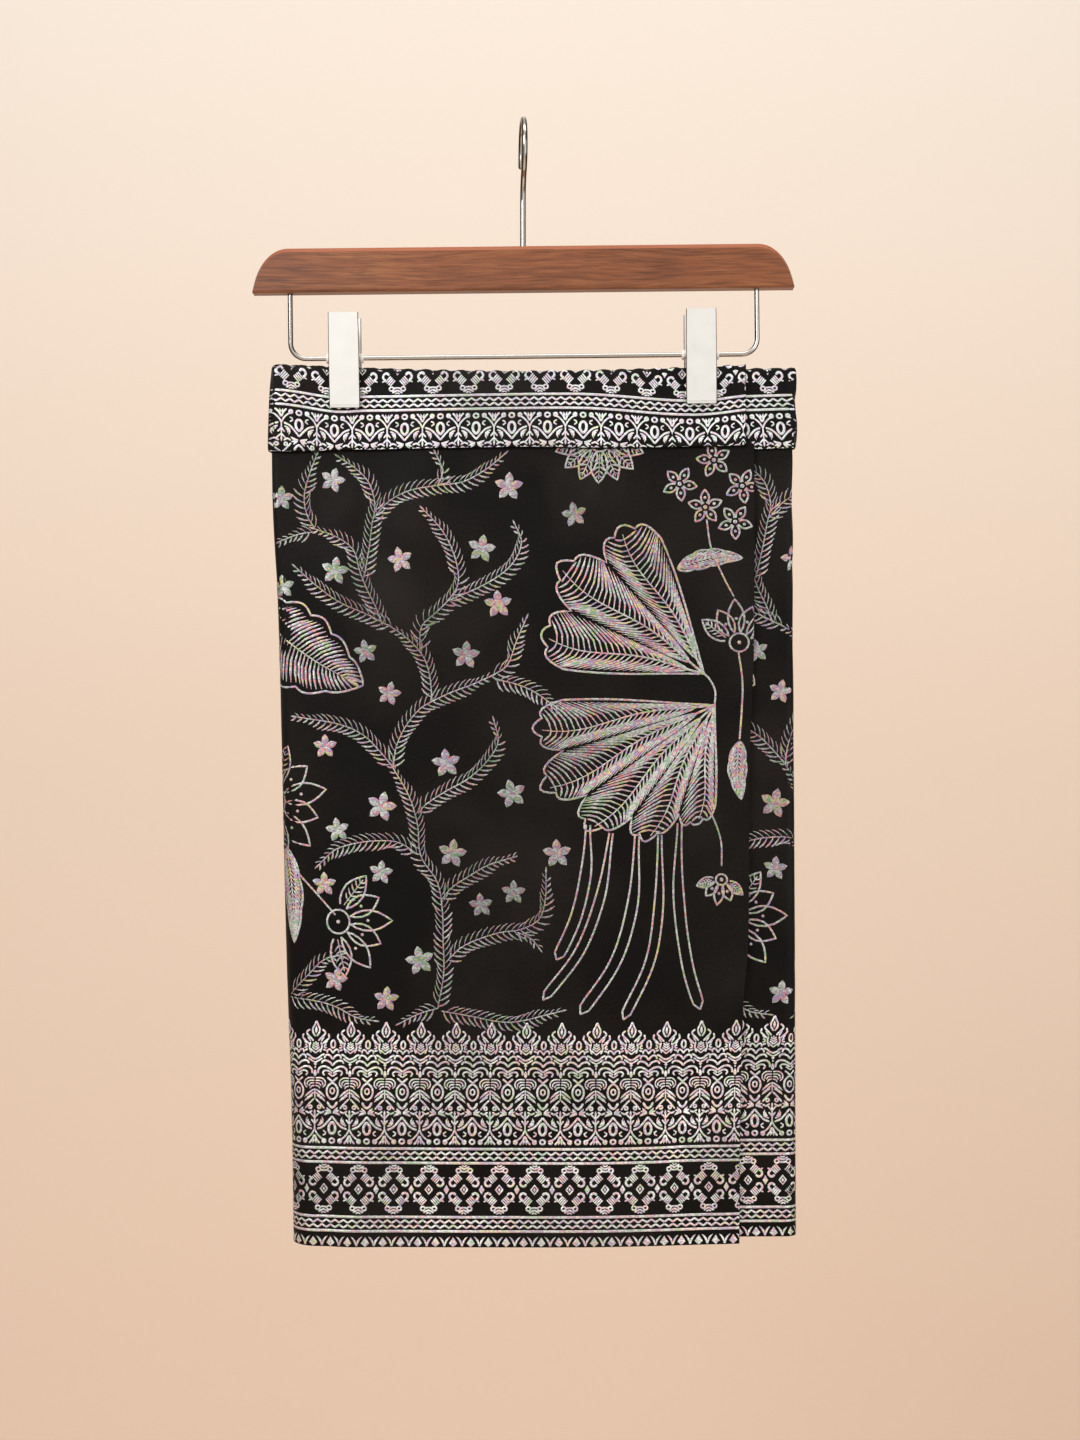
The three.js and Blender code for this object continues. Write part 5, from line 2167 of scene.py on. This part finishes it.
        def block(z: float, inner: float, width: float, radius: float, shrink: float = 1.0) -> Array:
            """A level ring from an inner face into the plate.

            Args:
                z: Its height.
                inner: Distance of the inner face from the middle.
                width: Its width.
                radius: Of its corners.
                shrink: Share of its depth that is built.

            Returns:
                Points, (n, 3).
            """
            reach = float(outer(z)) - self.rooted
            box = rounded(width, (reach - inner) * shrink, radius, 2)
            return np.column_stack([box[:, 0], sign * ((inner + reach) / 2 + box[:, 1]), np.full(len(box), z)])

        levels = np.linspace(self.clip_foot + 0.1, self.clip_foot + self.clip_jaw, 6)
        pad = [
            block(z, face, self.clip_width - self.pad_inset, self.pad_round, shrink)
            for z, shrink in zip(levels, (0.9, 1, 1, 1, 1, 0.9))
        ]
        boss = [
            block(self.bar_z + up, self.spool_radius + self.gap + self.boss_crown * abs(up) / self.boss_half,
                  self.clip_width * self.boss_share, self.boss_round)
            for up in np.linspace(-self.boss_half, self.boss_half, 5)
        ]
        parts = [plate, np.array(pad), np.array(boss)]
        return [part[:, ::-1] if sign < 0 else part for part in parts]

    def spool(self, name: str, x: float) -> Piece:
        """The plastic spool between a clip's plates.

        Args:
            name: The object's name.
            x: Its middle.

        Returns:
            A sleeve on the bar with a collar at each end.
        """
        half = self.spool_length / 2
        end = [(-half, self.bar_wire / 2 + self.spool_gap), *((away - half, radius) for away, radius in self.collar)]
        place, radius = np.array(end + [(-away, r) for away, r in end[::-1]]).T[:, :, None]
        angle = np.linspace(0, TURN, 24, endpoint=False)
        y, z = radius * np.cos(angle), self.bar_z + radius * np.sin(angle)
        return loft(name, self.tilted(np.stack([np.broadcast_to(x + place, y.shape), y, z], axis=-1)))

    def build(self, wood: Finish, wire: Finish, plate: Finish, plastic: Finish) -> None:
        """Makes and dresses the hanger.

        Args:
            wood: Finish of the wood.
            wire: Finish of the hook and the bar.
            plate: Finish of the clips.
            plastic: Finish of the spools.
        """
        finish_piece(self.wood(), wood, "hanger_wood", "hanger_wood")
        finish_piece(self.hook(), wire, "hanger_wire", "hanger_hook")
        finish_piece(self.bar(), wire, "hanger_wire", "hanger_bar")
        for name, x, stack in self.clips:
            for side in Side:
                word = side.name.lower()
                parts = [self.tilted(part + np.array([x, 0, 0])) for part in self.clip_section(side, stack)]
                piece = loft(f"clip_{name}_{word}_plate", *parts, sharp=self.crisp)
                finish_piece(piece, plate, "clip_plate", f"clip_{name}_{word}")
            finish_piece(self.spool(f"clip_{name}_sleeve", x), plastic, "clip_spool", f"clip_{name}_spool")


# ---- the studio


@dataclass(frozen=True)
class Studio:
    """Camera, lights and the pale sweep behind the object, in metres."""

    middle: tuple[float, float, float] = (0.012, 0.0, -0.42)
    distance: float = 1.45
    lens: float = 51.5
    floor: float = -2.0
    wall: float = 1.8
    width: float = 8.0
    # Where the sweep starts, how high its wall is, and the radius of its bend.
    near: float = -3.0
    high: float = 3.0
    bend: float = 0.4
    bend_points: int = 16
    # Colours of the paper, by share of the heights between the two that follow: a painted shade, darker and warmer low
    # down and paler high up.
    paper_shading: tuple = ((0.0, "#ead4c1"), (0.5, "#e7d5c4"), (1.0, "#ece4da"))
    shading_heights: tuple[float, float] = (-1.6, 0.75)
    sky: str = "#fbf6f1"
    sky_strength: float = 0.6
    # Name, place, aim, width and height, watts and colour.
    lights: tuple = (
        ("key", (-1.1, -1.7, 0.75), (0, 0, -0.4), (1.3, 1.0), 30, "#ffffff"),
        ("fill", (1.6, -1.4, -0.1), (0, 0, -0.4), (1.2, 1.6), 17, "#ffffff"),
        ("wall", (0.0, -0.5, 1.7), (0, 1.8, -0.4), (2.4, 0.8), 25, "#fff8f2"),
    )

    def camera(self) -> None:
        """Stands the camera level, in front of the object's middle."""
        data = bpy.data.cameras.new("camera")
        data.lens = self.lens
        camera = bpy.data.objects.new("camera", data)
        camera.location = (self.middle[0], -self.distance, self.middle[2])
        camera.rotation_euler = (math.pi / 2, 0, 0)
        bpy.context.scene.collection.objects.link(camera)
        bpy.context.scene.camera = camera

    def sweep(self) -> None:
        """Lays the paper sweep that is both floor and wall."""
        turn = np.linspace(0, math.pi / 2, self.bend_points)
        y = np.r_[self.near, self.wall - self.bend + self.bend * np.sin(turn), self.wall]
        z = np.r_[self.floor, self.floor + self.bend - self.bend * np.cos(turn), self.high]
        x = np.array([[self.width], [-self.width]])
        grid = np.stack(np.broadcast_arrays(x, y, z), axis=-1)
        piece = mesh_object("backdrop", grid.reshape(-1, 3), grid_quads(2, len(y)))
        r = Recipe("backdrop_paper")
        where = r.add("TexCoord").node.outputs["Object"]
        height = r.add("SeparateXYZ", Vector=where).node.outputs["Z"]
        # The paper darkens and warms towards the bottom: a painted shade.
        low, high = self.shading_heights
        shade = r.add("MapRange", height, From_Min=low, From_Max=high)
        # The paper's tooth, of 2.5 mm.
        tooth = r.add("TexNoise", Vector=where, Scale=400, Detail=2)
        r.surface(
            Base_Color=r.add("ValToRGB", shade, stops=self.paper_shading),
            Roughness=0.9,
            Specular_IOR_Level=0.1,
            Normal=r.add("Bump", Height=tooth, Distance=0.2 * MM, Strength=0.2),
        )
        piece.data.materials.append(r.material)
        piece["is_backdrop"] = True

    def area(self, name: str, place: Sequence[float], aim: Sequence[float], size: Sequence[float], power: float,
             colour: str) -> None:
        """Hangs a soft light.

        Args:
            name: Its name.
            place: Where it stands.
            aim: What it looks at.
            size: Its width and height.
            power: In watts.
            colour: Its colour.
        """
        data = bpy.data.lights.new(name, "AREA")
        data.shape = "RECTANGLE"
        data.size, data.size_y = size
        data.energy = power
        data.color = linear(colour)[:3]
        light = bpy.data.objects.new(name, data)
        light.location = place
        light.rotation_euler = (Vector(aim) - Vector(place)).to_track_quat("-Z", "Y").to_euler()
        bpy.context.scene.collection.objects.link(light)

    def build(self) -> None:
        """Sets up the studio."""
        scene = bpy.context.scene
        scene.view_settings.view_transform = "Standard"
        world = bpy.data.worlds.new("studio")
        world.use_nodes = True
        background = world.node_tree.nodes["Background"]
        background.inputs["Color"].default_value = linear(self.sky)
        background.inputs["Strength"].default_value = self.sky_strength
        scene.world = world
        self.camera()
        self.sweep()
        for light in self.lights:
            self.area(*light)


def main() -> None:
    """Builds the object and its studio, and logs the faces of each shown piece."""
    logging.basicConfig(level=logging.INFO, format="%(message)s")
    ground = Brocade().build()
    vine = MetalThread("metal_thread_vine").build()
    spray = MetalThread(
        "metal_thread_spray", "#a2a8a0", "#d6d6cc", "#e0867e", "#d8c070", "#80bc92", "#a69cc8", 0.36
    ).build()
    border = MetalThread(
        "metal_thread_border", "#d0d4ce", "#f8f7f3", "#f2b8b2", "#e6d6a8", "#aedaba", "#c6bee0", 0.16
    ).build()
    # The waistband's thread is paler and less dulled: a painted highlight, as though the band caught more light.
    band = MetalThread(
        "metal_thread_band", "#d4d9d8", "#eef0f0", "#e6c6c8", "#e0dcba", "#c0e0cc", "#cdc8e6", 0.2
    ).build()
    Garment().build(ground, vine, spray, border, band)
    Hanger().build(
        Walnut().build(),
        # The wire's flanks take a dark brown: a painted reflection of darker surroundings.
        Plate("bright_nickel", "#d5d2cc", 0.16, flank_shade="#35251b", flank_shade_range=(0.15, 0.55)).build(),
        Plate("satin_nickel", "#e6e6e2", 0.42, metal=0.7).build(),
        Moulded().build(),
    )
    Studio().build()
    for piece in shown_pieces():
        log.info("%s: %d faces", piece.name, len(piece.data.polygons))


if __name__ == "__main__":
    main()
